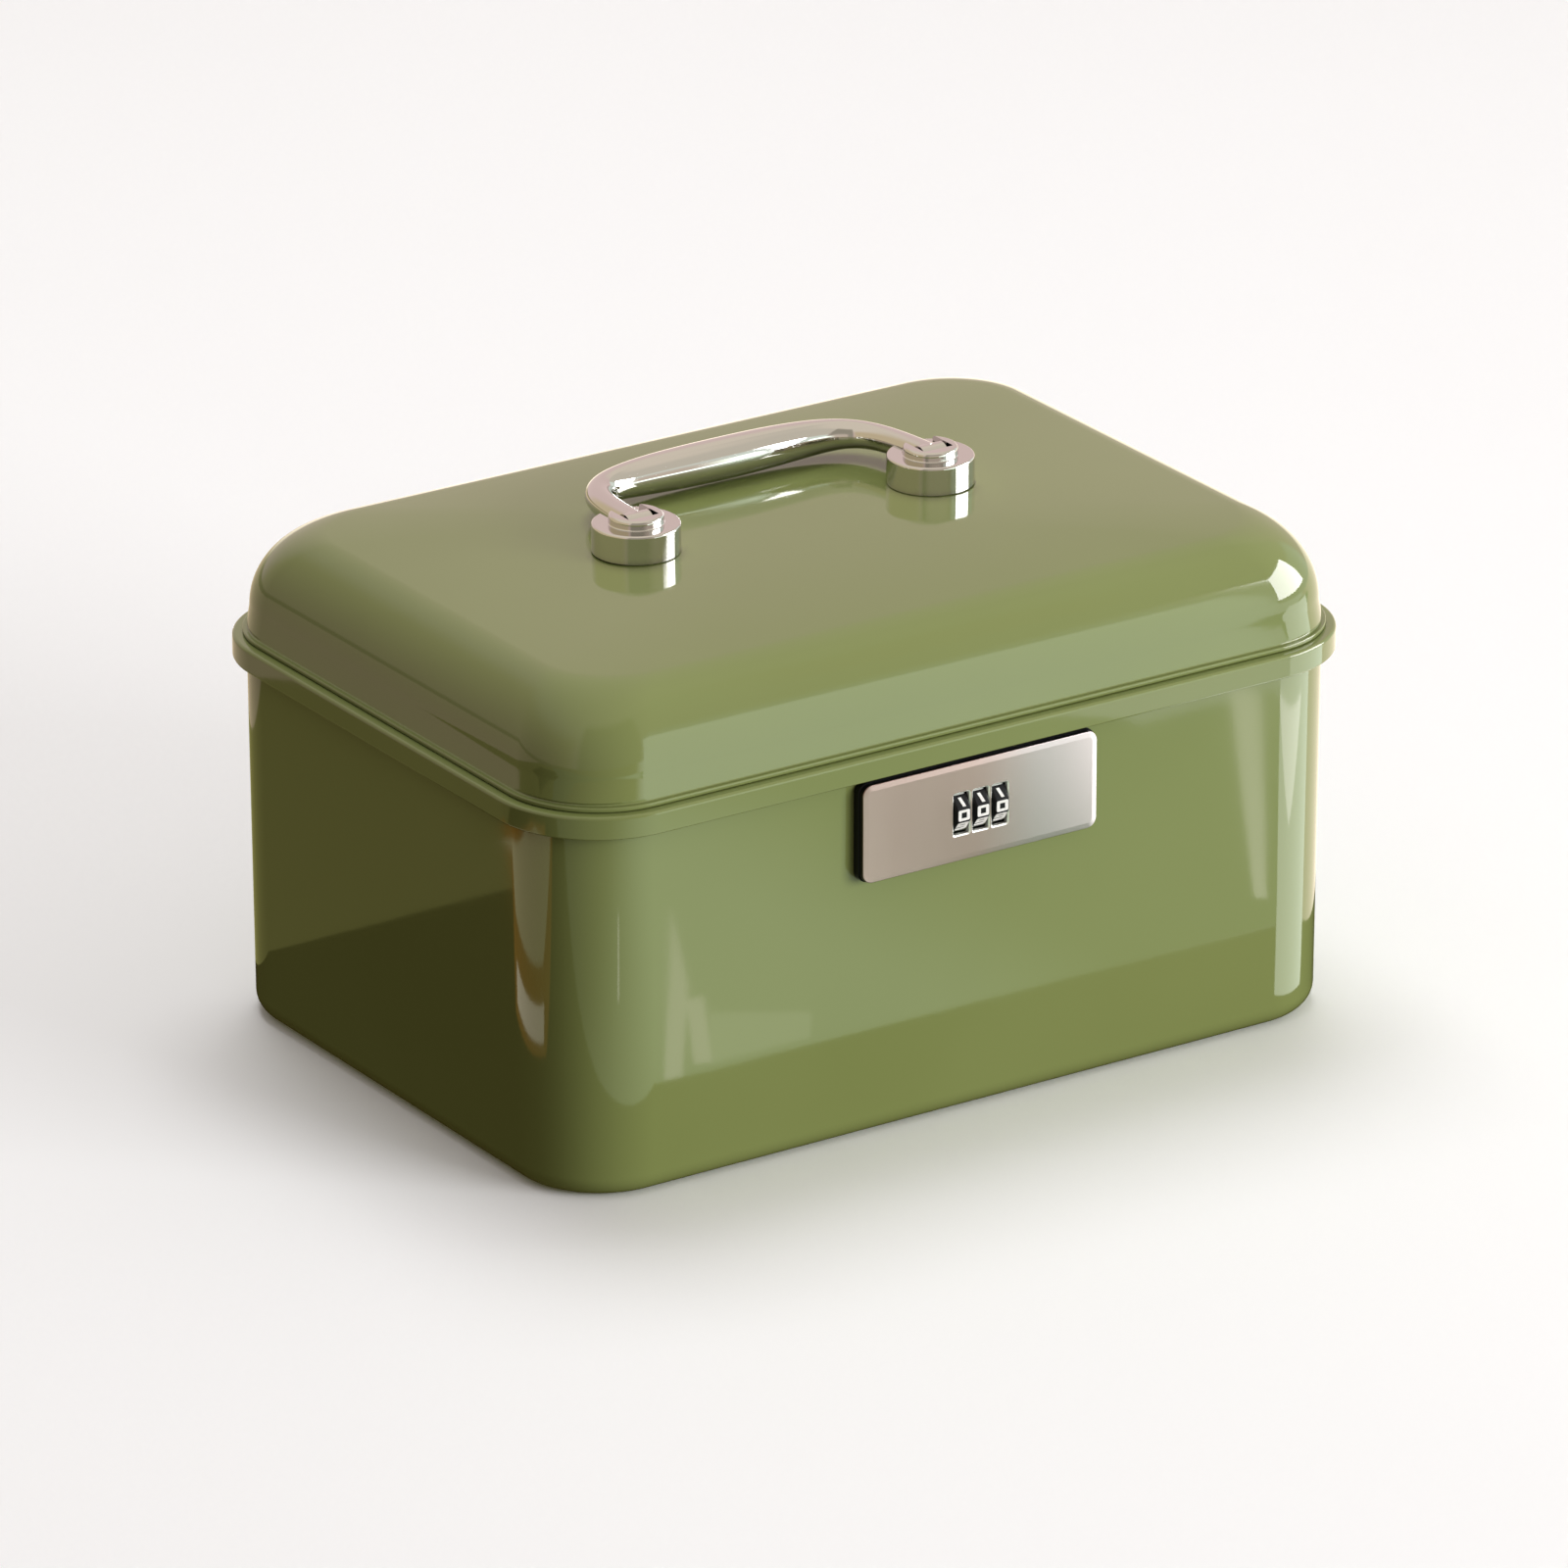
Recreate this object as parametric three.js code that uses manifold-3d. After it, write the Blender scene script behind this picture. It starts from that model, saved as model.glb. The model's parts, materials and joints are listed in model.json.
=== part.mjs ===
// A lockable steel box for medicines: a pressed body with a rolled rim, a domed lid on two rear hinges,
// a chromed swing handle on the lid, and a three-wheel number lock behind a metal plate on the front.
//
// Millimetres. +X runs along the box to the right, +Y from front to back, +Z up.
// The origin is the centre of the flat base.

import * as THREE from 'three';
import { mergeVertices } from 'three/addons/utils/BufferGeometryUtils.js';
import Module from 'manifold-3d';

const wasm = await Module();
wasm.setup();

// Gaps between pieces
const FACE_GAP = 0.2;          // flat faces that rest on each other
const SEAT_GAP = 0.3;          // round or curved faces that touch
const RUNNING_GAP = 0.3;       // a pin or a shaft in its bore

// Body
const RIM_LENGTH = 265;
const RIM_WIDTH = 190;
const RIM_CORNER = 31;
const BODY_HEIGHT = 111.8;
const BAND_HEIGHT = 6.6;
const BAND_STANDS = 3.9;       // the band's face in front of the body's wall
const BAND_EDGE = 1.0;
const SHEET = 1.0;
const BODY_TAPER = 0.8;
const BASE_ROUND = 6.05;

// Lid
const LID_GAP = 0.4;           // the lid's bead above the body's rim
const LID_SET_IN = 4.4;        // the band's face to the lid's wall
const LID_CORNER = 25.2;
const BEAD_SET_IN = 2.8;
const BEAD_HEIGHT = 1.3;
const BEAD_SWELL = 0.33;        // the bead's middle past its two edges
const SKIRT_GAP = 0.4;
const SKIRT_DEPTH = 5.7;
const LID_WALL_RISE = 7.5;      // the lid's upright wall above the body's rim
const LID_DRAFT = 0.75;
const DOME_ROUND_OUT = 18.6;
const DOME_ROUND_UP = 22.4;
const DOME_ROUND_ENDS = THREE.MathUtils.degToRad(85.5);
const CROWN = 2.2;
const CROWN_POWER = 3;

// Handle
const HANDLE_SPACING = 96;
const CUP_RADIUS = 12.2;
const CUP_HEIGHT = 8;
const CUP_BEVEL = 0.7;
const BOSS_RADIUS = 7.65;
const BOSS_HEIGHT = 2.6;
const BOSS_ROUND = 1.1;
const PIVOT_HEIGHT = 7.1;
const ARM_HALF_WIDTH = 3.8;
const ARM_HALF_THICKNESS = 3.4;
const GRIP_RADIUS = 5.95;
const GRIP_SWELL_POWER = 3;
const HANDLE_REACH = 32.7;
const HANDLE_DROP = 0.45;
const ARM_PULL = 36.8;         // how far back the arm's curve is drawn before it turns
const ARM_LEAN = 1.6;
const SHOULDER = 7.2;
const EYE_RADIUS = 3.6;
const ARM_CLEARANCE = 0.45;
const ARM_SIDE_CLEARANCE = 0.95; // the arm leans inwards as it leaves the cup
const HANDLE_PIN_RADIUS = 1.5;
const HANDLE_PIN_LENGTH = 13.8;
const STUD_RADIUS = 2.5;
const WASHER_RADIUS = 5.5;
const WASHER_THICKNESS = 1.0;
const NUT_ACROSS_FLATS = 8;
const NUT_HEIGHT = 4;
const NUT_SIDES = 6;
const STUD_PAST_NUT = 0.8;

// Hinges
const HINGE_SPACING = 140;
const HINGE_LENGTH = 36;
const KNUCKLE_RADIUS = 3;
const LID_KNUCKLE_LENGTH = 12;
const KNUCKLE_GAP = 0.3;
const HINGE_PIN_RADIUS = 1.25;
const PIN_HEAD_RADIUS = 2.2;
const PIN_HEAD_THICKNESS = 0.8;
const LEAF_THICKNESS = 1.2;
const HINGE_RISE = 1.2;        // the hinge pin above the body's rim
const HINGE_BEHIND = 0.4;      // the knuckle behind the band's face
const BODY_LEAF_HEIGHT = 17.6;
const BODY_LEAF_BELOW_BAND = 1.6;
const BODY_RIVET_RISE = 8;      // the rivets above the leaf's lower edge
const LID_LEAF_HEIGHT = 7;
const LID_LEAF_ABOVE_BEAD = 0.9;
const LID_RIVET_RISE = 3.9;
const RIVET_SPACING = 22;
const RIVET_RADIUS = 1.5;
const RIVET_HEAD_RADIUS = 2.6;
const RIVET_HEAD_HEIGHT = 1.2;
const RIVET_TAIL_RADIUS = 2.4;
const RIVET_TAIL_HEIGHT = 0.8;

// Lock front
const PLATE_LENGTH = 76.4;
const PLATE_HEIGHT = 29.2;
const PLATE_BELOW_RIM = 21.4;    // the plate's middle below the body's rim
const PLATE_CORNER = 3;
const PLATE_THICKNESS = 1.6;
const BACKING_THICKNESS = 2.3;
const DIAL_BELOW_CENTRE = 0.8;
const DIAL_PITCH = 6.2;
const DIAL_COUNT = 3;
const DIGITS = 10;
const WHEEL_RADIUS = 6.2;      // to the edges between the ten faces
const WHEEL_WIDTH = 4.9;
const WHEEL_PROUD = 1.2;
const DIAL_WINDOW_WIDTH = 5.4;
const DIAL_WINDOW_HEIGHT = 12;
const WHEEL_BORE = 3.1;
const KEY_WIDTH = 1.0;
const KEY_HEIGHT = 0.7;
const COLLAR = 0.7;            // the code ring past the wheel's side
const SHAFT_RADIUS = 1.5;

// Lock inside
const CASE_END_INSET = 2.2;     // the case's ends, foot and top in from the plate's
const CASE_FOOT_INSET = 1.2;
const CASE_TOP_INSET = 1.0;
const CASE_DEPTH = 13;
const CASE_WALL = 1.5;
const COVER_THICKNESS = 1.5;
const COVER_INSET = 0.5;
const CHEEK_THICKNESS = 1.5;
const CHEEK_HALF_HEIGHT = 4.5;
const CHEEK_SIDE_GAP = 0.35;
const CHEEK_BACK_RIM = 1.9;     // the cheek's wall behind the dial shaft
const CHEEK_FRONT_RIM = 1.4;
const WINDOW_CLEARANCE = 0.4;
const POST_INSET = 4.5;
const POST_RADIUS = 3.2;
const SPIGOT_RADIUS = 2.6;
const SPIGOT_FLOOR = 1.0;
const SCREW_RADIUS = 1.2;
const SCREW_HEAD_RADIUS = 2.6;
const SCREW_HEAD_HEIGHT = 1.6;
const SCREW_SLOT_WIDTH = 0.7;
const SCREW_SLOT_DEPTH = 0.7;
const SPRING_THICKNESS = 0.4;
const SPRING_FINGER_WIDTH = 4.4;
const SPRING_FOOT_HEIGHT = 2.4;
const SPRING_TOP_ABOVE_AXIS = 3.4;
const SPRING_CLEARANCE = 0.25;
const SPRING_SEAT_BELOW_WHEEL = 1.4;

// Bolt and strike
const BOLT_THICKNESS = 3;
const BOLT_DEPTH = 3;
const BOLT_ABOVE_WHEELS = 2.8;
const BOLT_BEHIND_CASE_FRONT = 3.6;
const BOLT_TRAVEL = 2.5;
const BOLT_CHAMFER = 0.8;
const BOLT_CLEARANCE = 0.3;
const BOLT_REST_GAP = 0.6;      // the drawn-back bolt short of the strike
const TAIL_LENGTH = 2;
const TAIL_RISE = 0.8;
const PRONG_WIDTH = 1.0;
const PRONG_CLEARANCE = 0.4;
const GUIDE_THICKNESS = 2.5;
const GUIDE_FROM_POST = 10.5;
const GUIDE_FROM_CHEEK = 2.3;
const GUIDE_RIM = 1.4;
const STRIKE_X = 11;
const STRIKE_THICKNESS = 1.5;
const STRIKE_WINDOW_CLEARANCE = 0.65;
const STRIKE_RIM = 1.8;         // metal behind the strike's window
const STRIKE_FRONT_RIM = 0.6;
const STRIKE_FOOT = 0.9;        // metal below the strike's window
const STRIKE_FLANGE_LENGTH = 18;
const STRIKE_FLANGE_THICKNESS = 1.2;
const STRIKE_FLANGE_HEIGHT = 9.8;
const STRIKE_FLANGE_RISE = 0.7; // the flange above the skirt's lower edge
const STRIKE_SLOT_CLEARANCE = 0.8;

// Fineness
const CORNER_STEPS = 7;
const ROUND_STEPS = 4;
const DOME_STEPS = 7;
const CROWN_STEPS = 4;
const CROWN_CENTRE = 0.05;
const ROD_SIDES = 16;
const CUP_SIDES = 32;
const ARM_SIDES = 14;
const ARM_STEPS = 15;
const THROUGH = 5;             // how far a cutting shape runs past what it cuts

// Places worked out from the sizes
const bandLow = BODY_HEIGHT - BAND_HEIGHT;
const wallFront = -(RIM_WIDTH / 2 - BAND_STANDS);
const wallBack = -wallFront;
const beadLow = BODY_HEIGHT + LID_GAP;
const beadHigh = beadLow + BEAD_HEIGHT;
const skirtSetIn = BAND_STANDS + SHEET + SKIRT_GAP;
const skirtInside = skirtSetIn + SHEET;
const lidWallTop = BODY_HEIGHT + LID_WALL_RISE;
const skirtLow = beadLow - SKIRT_DEPTH;
const domeEdgeSetIn = LID_SET_IN + LID_DRAFT + DOME_ROUND_OUT * (1 - Math.cos(DOME_ROUND_ENDS));
const domeEdgeZ = lidWallTop + DOME_ROUND_UP * Math.sin(DOME_ROUND_ENDS);
const lidTop = domeEdgeZ + CROWN;
const flatHalfLength = RIM_LENGTH / 2 - domeEdgeSetIn;

const cupX = HANDLE_SPACING / 2;
const cupZ = crownZ(cupX - CUP_RADIUS) + FACE_GAP;
const pivotZ = cupZ + PIVOT_HEIGHT;
const washerZ = crownZ(cupX + WASHER_RADIUS) - SHEET - FACE_GAP;
const nutZ = washerZ - WASHER_THICKNESS - FACE_GAP;
const studLow = nutZ - NUT_HEIGHT - STUD_PAST_NUT;

const hingeX = HINGE_SPACING / 2;
const hingeY = RIM_WIDTH / 2 + HINGE_BEHIND + KNUCKLE_RADIUS;
const hingeZ = BODY_HEIGHT + HINGE_RISE;
const bodyLeafHigh = bandLow - BODY_LEAF_BELOW_BAND;
const bodyLeafLow = bodyLeafHigh - BODY_LEAF_HEIGHT;
const bodyRivetZ = bodyLeafLow + BODY_RIVET_RISE;
const lidLeafLow = beadHigh + LID_LEAF_ABOVE_BEAD;
const lidLeafHigh = lidLeafLow + LID_LEAF_HEIGHT;
const lidRivetZ = lidLeafLow + LID_RIVET_RISE;

const plateZ = BODY_HEIGHT - PLATE_BELOW_RIM;
const dialZ = plateZ - DIAL_BELOW_CENTRE;
const backingBack = wallFront - FACE_GAP;
const backingFront = backingBack - BACKING_THICKNESS;
const plateBack = backingFront - FACE_GAP;
const plateFront = plateBack - PLATE_THICKNESS;
const wheelFlat = WHEEL_RADIUS * Math.cos(Math.PI / DIGITS);
const dialY = plateFront - WHEEL_PROUD + wheelFlat;
const dialPackHalf = (DIAL_COUNT - 1) / 2 * DIAL_PITCH + WHEEL_WIDTH / 2 + COLLAR;
const cheekInner = dialPackHalf + CHEEK_SIDE_GAP;
const cheekOuter = cheekInner + CHEEK_THICKNESS;
const windowHalfLength = cheekOuter + WINDOW_CLEARANCE;
const windowHalfHeight = WHEEL_RADIUS + WINDOW_CLEARANCE;

const caseHalfLength = PLATE_LENGTH / 2 - CASE_END_INSET;
const caseLow = plateZ - PLATE_HEIGHT / 2 + CASE_FOOT_INSET;
const caseHigh = plateZ + PLATE_HEIGHT / 2 - CASE_TOP_INSET;
const caseFront = wallFront + SHEET + wallLean(caseLow) + FACE_GAP;
const caseBack = caseFront + CASE_DEPTH;
const coverFront = caseBack + FACE_GAP;
const coverBack = coverFront + COVER_THICKNESS;
const postX = caseHalfLength - POST_INSET;
const postZs = [caseLow + POST_INSET, caseHigh - POST_INSET];
const springFront = dialY + WHEEL_RADIUS + SPRING_CLEARANCE;
const springFootLow = dialZ - WHEEL_RADIUS - SPRING_SEAT_BELOW_WHEEL - SPRING_FOOT_HEIGHT;

const boltLow = dialZ + WHEEL_RADIUS + BOLT_ABOVE_WHEELS;
const boltHigh = boltLow + BOLT_THICKNESS;
const boltFront = caseFront + BOLT_BEHIND_CASE_FRONT;
const boltBack = boltFront + BOLT_DEPTH;
const boltNose = STRIKE_X - BOLT_REST_GAP;
const guideXs = [GUIDE_FROM_POST - postX, -cheekOuter - GUIDE_FROM_CHEEK];
const boltTail = guideXs[0] - BOLT_TRAVEL - BOLT_CLEARANCE;
const strikeFlangeFront = -(RIM_WIDTH / 2 - skirtInside) + SEAT_GAP;
const strikeFlangeZ = [skirtLow + STRIKE_FLANGE_RISE, skirtLow + STRIKE_FLANGE_RISE + STRIKE_FLANGE_HEIGHT];

// Height of the lid's outer top at a distance along the box from its centre
function crownZ(x) {
  return lidTop - CROWN * (Math.abs(x) / flatHalfLength) ** CROWN_POWER;
}

// How much further in the tapered body wall stands at a height than at the rim
function wallLean(z) {
  return BODY_TAPER * (1 - z / BODY_HEIGHT);
}

// How far in from the band's face the lid's upright wall or dome stands at a height
function lidLean(z) {
  if (z <= lidWallTop) {
    return LID_SET_IN + LID_DRAFT * (z - beadHigh) / (lidWallTop - beadHigh);
  }
  const rise = (z - lidWallTop) / DOME_ROUND_UP;
  return LID_SET_IN + LID_DRAFT + DOME_ROUND_OUT * (1 - Math.sqrt(1 - rise * rise));
}

function lidWallY(z) {
  return RIM_WIDTH / 2 - lidLean(z);
}

// Finishes
const enamel = new THREE.MeshStandardMaterial({ color: 0x7f9459, roughness: 0.12, metalness: 0 });
const chrome = new THREE.MeshStandardMaterial({ color: 0xd9d6d0, roughness: 0.08, metalness: 1 });
const brushed = new THREE.MeshStandardMaterial({ color: 0xb9aca2, roughness: 0.35, metalness: 1 });
const blackPlastic = new THREE.MeshStandardMaterial({ color: 0x161616, roughness: 0.4, metalness: 0 });
const steel = new THREE.MeshStandardMaterial({ color: 0xa8a8a6, roughness: 0.4, metalness: 1 });

// Basic solids

// The vertex order is reversed if the faces point inwards
function facingOut(geometry) {
  const index = geometry.index.array;
  const at = geometry.attributes.position;
  const corner = [new THREE.Vector3(), new THREE.Vector3(), new THREE.Vector3()];
  let volume = 0;
  for (let i = 0; i < index.length; i += 3) {
    corner.forEach((vertex, k) => vertex.fromBufferAttribute(at, index[i + k]));
    volume += corner[0].dot(corner[1].clone().cross(corner[2]));
  }
  if (volume < 0) {
    for (let i = 0; i < index.length; i += 3) {
      [index[i], index[i + 1]] = [index[i + 1], index[i]];
    }
  }
  return geometry;
}

function toSolid(geometry) {
  geometry.deleteAttribute('normal');
  geometry.deleteAttribute('uv');
  const merged = facingOut(mergeVertices(geometry));
  return new wasm.Manifold(new wasm.Mesh({
    numProp: 3,
    vertProperties: new Float32Array(merged.attributes.position.array),
    triVerts: new Uint32Array(merged.index.array),
  }));
}

function toGeometry(solid) {
  const mesh = solid.getMesh();
  const geometry = new THREE.BufferGeometry();
  geometry.setAttribute('position', new THREE.BufferAttribute(mesh.vertProperties, 3));
  geometry.setIndex(new THREE.BufferAttribute(mesh.triVerts, 1));
  geometry.computeVertexNormals();
  return geometry;
}

function join(first, ...others) {
  return others.reduce((whole, piece) => whole.add(piece), first);
}

function cut(first, ...others) {
  return others.reduce((whole, piece) => whole.subtract(piece), first);
}

function block([x0, x1], [y0, y1], [z0, z1]) {
  const geometry = new THREE.BoxGeometry(x1 - x0, y1 - y0, z1 - z0);
  geometry.translate((x0 + x1) / 2, (y0 + y1) / 2, (z0 + z1) / 2);
  return toSolid(geometry);
}

// Turns a shape that stands along Y so that it lies along the named axis
function turnTo(axis, geometry) {
  if (axis === 'x') {
    geometry.rotateZ(-Math.PI / 2);
  }
  if (axis === 'z') {
    geometry.rotateX(Math.PI / 2);
  }
  return geometry;
}

// A round bar along an axis, through the given place on the other two
function rod(axis, radius, [from, to], place, sides = ROD_SIDES) {
  const geometry = turnTo(axis, new THREE.CylinderGeometry(radius, radius, to - from, sides));
  const centre = { ...place, [axis]: (from + to) / 2 };
  geometry.translate(centre.x, centre.y, centre.z);
  return toSolid(geometry);
}

// A turned piece: the profile gives radius and distance along the axis
function turned(axis, profile, place, sides = ROD_SIDES) {
  const points = profile.map(([radius, along]) => new THREE.Vector2(radius, along));
  const geometry = turnTo(axis, new THREE.LatheGeometry(points, sides));
  geometry.translate(place.x, place.y, place.z);
  return toSolid(geometry);
}

// An outline of y and z, drawn out along X
function alongX(outline, [from, to]) {
  const shape = new THREE.Shape(outline.map(([y, z]) => new THREE.Vector2(y, z)));
  const geometry = new THREE.ExtrudeGeometry(shape, { depth: to - from, bevelEnabled: false });
  geometry.applyMatrix4(new THREE.Matrix4().set(0, 0, 1, from, 1, 0, 0, 0, 0, 1, 0, 0, 0, 0, 0, 1));
  return toSolid(geometry);
}

// An outline of x and z, drawn out along Y
function alongY(outline, [from, to]) {
  const shape = outline instanceof THREE.Shape
    ? outline
    : new THREE.Shape(outline.map(([x, z]) => new THREE.Vector2(x, z)));
  const settings = { depth: to - from, bevelEnabled: false, curveSegments: ROUND_STEPS };
  const geometry = new THREE.ExtrudeGeometry(shape, settings);
  geometry.applyMatrix4(new THREE.Matrix4().set(1, 0, 0, 0, 0, 0, -1, to, 0, 1, 0, 0, 0, 0, 0, 1));
  return toSolid(geometry);
}

function roundedPlate(length, height, corner, z) {
  const shape = new THREE.Shape();
  const x = length / 2;
  const low = z - height / 2;
  const high = z + height / 2;
  shape.moveTo(-x + corner, low);
  shape.lineTo(x - corner, low);
  shape.absarc(x - corner, low + corner, corner, -Math.PI / 2, 0);
  shape.lineTo(x, high - corner);
  shape.absarc(x - corner, high - corner, corner, 0, Math.PI / 2);
  shape.lineTo(-x + corner, high);
  shape.absarc(-x + corner, high - corner, corner, Math.PI / 2, Math.PI);
  shape.lineTo(-x, low + corner);
  shape.absarc(-x + corner, low + corner, corner, Math.PI, Math.PI * 1.5);
  return shape;
}

// A closed skin through rings of equal point count, with a flat end on the first and the last
function loft(rings) {
  const count = rings[0].length;
  const points = rings.flat();
  const ends = [rings[0], rings[rings.length - 1]];
  for (const end of ends) {
    const centre = new THREE.Vector3();
    end.forEach((point) => centre.addScaledVector(point, 1 / count));
    points.push(centre);
  }
  const index = [];
  for (let i = 0; i < count; i += 1) {
    const next = (i + 1) % count;
    for (let ring = 0; ring < rings.length - 1; ring += 1) {
      const a = ring * count;
      const b = a + count;
      index.push(a + i, a + next, b + next, a + i, b + next, b + i);
    }
    const last = (rings.length - 1) * count;
    index.push(points.length - 2, next, i, points.length - 1, last + i, last + next);
  }
  const geometry = new THREE.BufferGeometry().setFromPoints(points);
  geometry.setIndex(index);
  return toSolid(geometry);
}

// A ring around the box: half its length and width, its corner's reach along each, and its height
function boxRing(halfLength, halfWidth, cornerX, cornerY, z) {
  const ring = [];
  const quarters = [[1, 1], [-1, 1], [-1, -1], [1, -1]];
  quarters.forEach(([sideX, sideY], quarter) => {
    for (let step = 0; step <= CORNER_STEPS; step += 1) {
      const turn = (quarter + step / CORNER_STEPS) * Math.PI / 2;
      const x = sideX * (halfLength - cornerX) + cornerX * Math.cos(turn);
      const y = sideY * (halfWidth - cornerY) + cornerY * Math.sin(turn);
      ring.push(new THREE.Vector3(x, y, z));
    }
  });
  return ring;
}

// A ring that runs parallel to the rim, set in from the band's face
function rimRing(setIn, z) {
  const corner = RIM_CORNER - setIn;
  return boxRing(RIM_LENGTH / 2 - setIn, RIM_WIDTH / 2 - setIn, corner, corner, z);
}

// A ring of the lid's skin, whose corners narrow in proportion as the dome draws in;
// depth is how far it lies below the lid's outer face, measured towards the inside
function lidRing(setIn, z, depth = 0) {
  const shareX = (RIM_LENGTH / 2 - setIn) / (RIM_LENGTH / 2 - LID_SET_IN);
  const shareY = (RIM_WIDTH / 2 - setIn) / (RIM_WIDTH / 2 - LID_SET_IN);
  const halfLength = RIM_LENGTH / 2 - setIn - depth;
  const halfWidth = RIM_WIDTH / 2 - setIn - depth;
  return boxRing(halfLength, halfWidth, LID_CORNER * shareX - depth, LID_CORNER * shareY - depth, z);
}

function steps(count) {
  return Array.from({ length: count + 1 }, (_, i) => i / count);
}

// Body
function roundedEdge(setIn, z, radius, fromTurn) {
  return steps(ROUND_STEPS).map((share) => {
    const turn = fromTurn + share * Math.PI / 2;
    return [setIn + radius * (1 - Math.cos(turn)), z + radius * Math.sin(turn)];
  });
}

function baseRound(radius, floorZ, depth) {
  return steps(ROUND_STEPS).map((share) => {
    const turn = share * Math.PI / 2;
    const setIn = BAND_STANDS + wallLean(floorZ) + depth + radius * (1 - Math.sin(turn));
    return rimRing(setIn, floorZ + radius * (1 - Math.cos(turn)));
  });
}

function bodySkin() {
  const inside = BAND_STANDS + SHEET;
  const half = SHEET / 2;
  const outerBase = baseRound(BASE_ROUND, 0, 0);
  const innerBase = baseRound(BASE_ROUND - SHEET, SHEET, SHEET).reverse();
  const channelTop = BODY_HEIGHT - SHEET;
  return loft([
    ...outerBase,
    rimRing(BAND_STANDS + wallLean(bandLow), bandLow),
    rimRing(BAND_STANDS, channelTop),
    rimRing(SHEET, channelTop),
    rimRing(SHEET, bandLow + half),
    rimRing(half, bandLow),
    rimRing(0, bandLow + half),
    ...roundedEdge(0, BODY_HEIGHT - BAND_EDGE, BAND_EDGE, 0).map(([setIn, z]) => rimRing(setIn, z)),
    rimRing(inside - half, BODY_HEIGHT),
    rimRing(inside, BODY_HEIGHT - half),
    ...innerBase,
  ]);
}

function lockOpening() {
  const x = [-windowHalfLength, windowHalfLength];
  const z = [dialZ - windowHalfHeight, dialZ + windowHalfHeight];
  return block(x, [wallFront - THROUGH, wallFront + THROUGH], z);
}

function lockPosts() {
  return [-postX, postX].flatMap((x) => postZs.map((z) => ({ x, z })));
}

function rivetPlaces(z) {
  const offsets = [-RIVET_SPACING / 2, RIVET_SPACING / 2];
  return [-hingeX, hingeX].flatMap((x) => offsets.map((offset) => ({ x: x + offset, z })));
}

// The holes that the hinges' rivets pass through in a wall at a distance from the box's middle
function rivetHoles(z, wall) {
  const across = [wall - THROUGH, wall + THROUGH];
  return rivetPlaces(z).map((place) => rod('y', RIVET_RADIUS + SEAT_GAP, across, place));
}

function bodyShell() {
  const across = [wallFront - THROUGH, wallFront + THROUGH];
  const spigotHoles = lockPosts().map((place) => rod('y', SPIGOT_RADIUS + SEAT_GAP, across, place));
  return cut(bodySkin(), lockOpening(), ...spigotHoles, ...rivetHoles(bodyRivetZ, wallBack));
}

// Lid
function domeRings(depth) {
  return steps(DOME_STEPS).map((share) => {
    const turn = share * DOME_ROUND_ENDS;
    const setIn = LID_SET_IN + LID_DRAFT + DOME_ROUND_OUT * (1 - Math.cos(turn));
    const z = lidWallTop + (DOME_ROUND_UP - depth) * Math.sin(turn);
    return lidRing(setIn, z, depth * Math.cos(turn));
  });
}

function crownRings(depth) {
  const edge = lidRing(domeEdgeSetIn, 0, depth * Math.cos(DOME_ROUND_ENDS));
  return steps(CROWN_STEPS).slice(1).map((share) => {
    const size = 1 - share * (1 - CROWN_CENTRE);
    const z = lidTop - depth - CROWN * size ** CROWN_POWER;
    return edge.map((point) => new THREE.Vector3(point.x * size, point.y * size, z));
  });
}

function lidSkin() {
  const outer = [...domeRings(0), ...crownRings(0)].reverse();
  const inner = [...domeRings(SHEET), ...crownRings(SHEET)];
  return loft([
    ...outer,
    lidRing(LID_SET_IN, beadHigh),
    rimRing(BEAD_SET_IN + BEAD_SWELL, beadHigh),
    rimRing(BEAD_SET_IN, (beadLow + beadHigh) / 2),
    rimRing(BEAD_SET_IN + BEAD_SWELL, beadLow),
    rimRing(skirtSetIn, beadLow),
    rimRing(skirtSetIn, skirtLow),
    rimRing(skirtInside, skirtLow),
    rimRing(skirtInside, beadHigh),
    ...inner,
  ]);
}

function lidShell() {
  const studHoles = [-cupX, cupX].map((x) => {
    const along = [domeEdgeZ - THROUGH, lidTop + THROUGH];
    return rod('z', STUD_RADIUS + SEAT_GAP, along, { x, y: 0 });
  });
  return cut(lidSkin(), ...studHoles, ...rivetHoles(lidRivetZ, lidWallY(lidRivetZ)));
}

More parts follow.
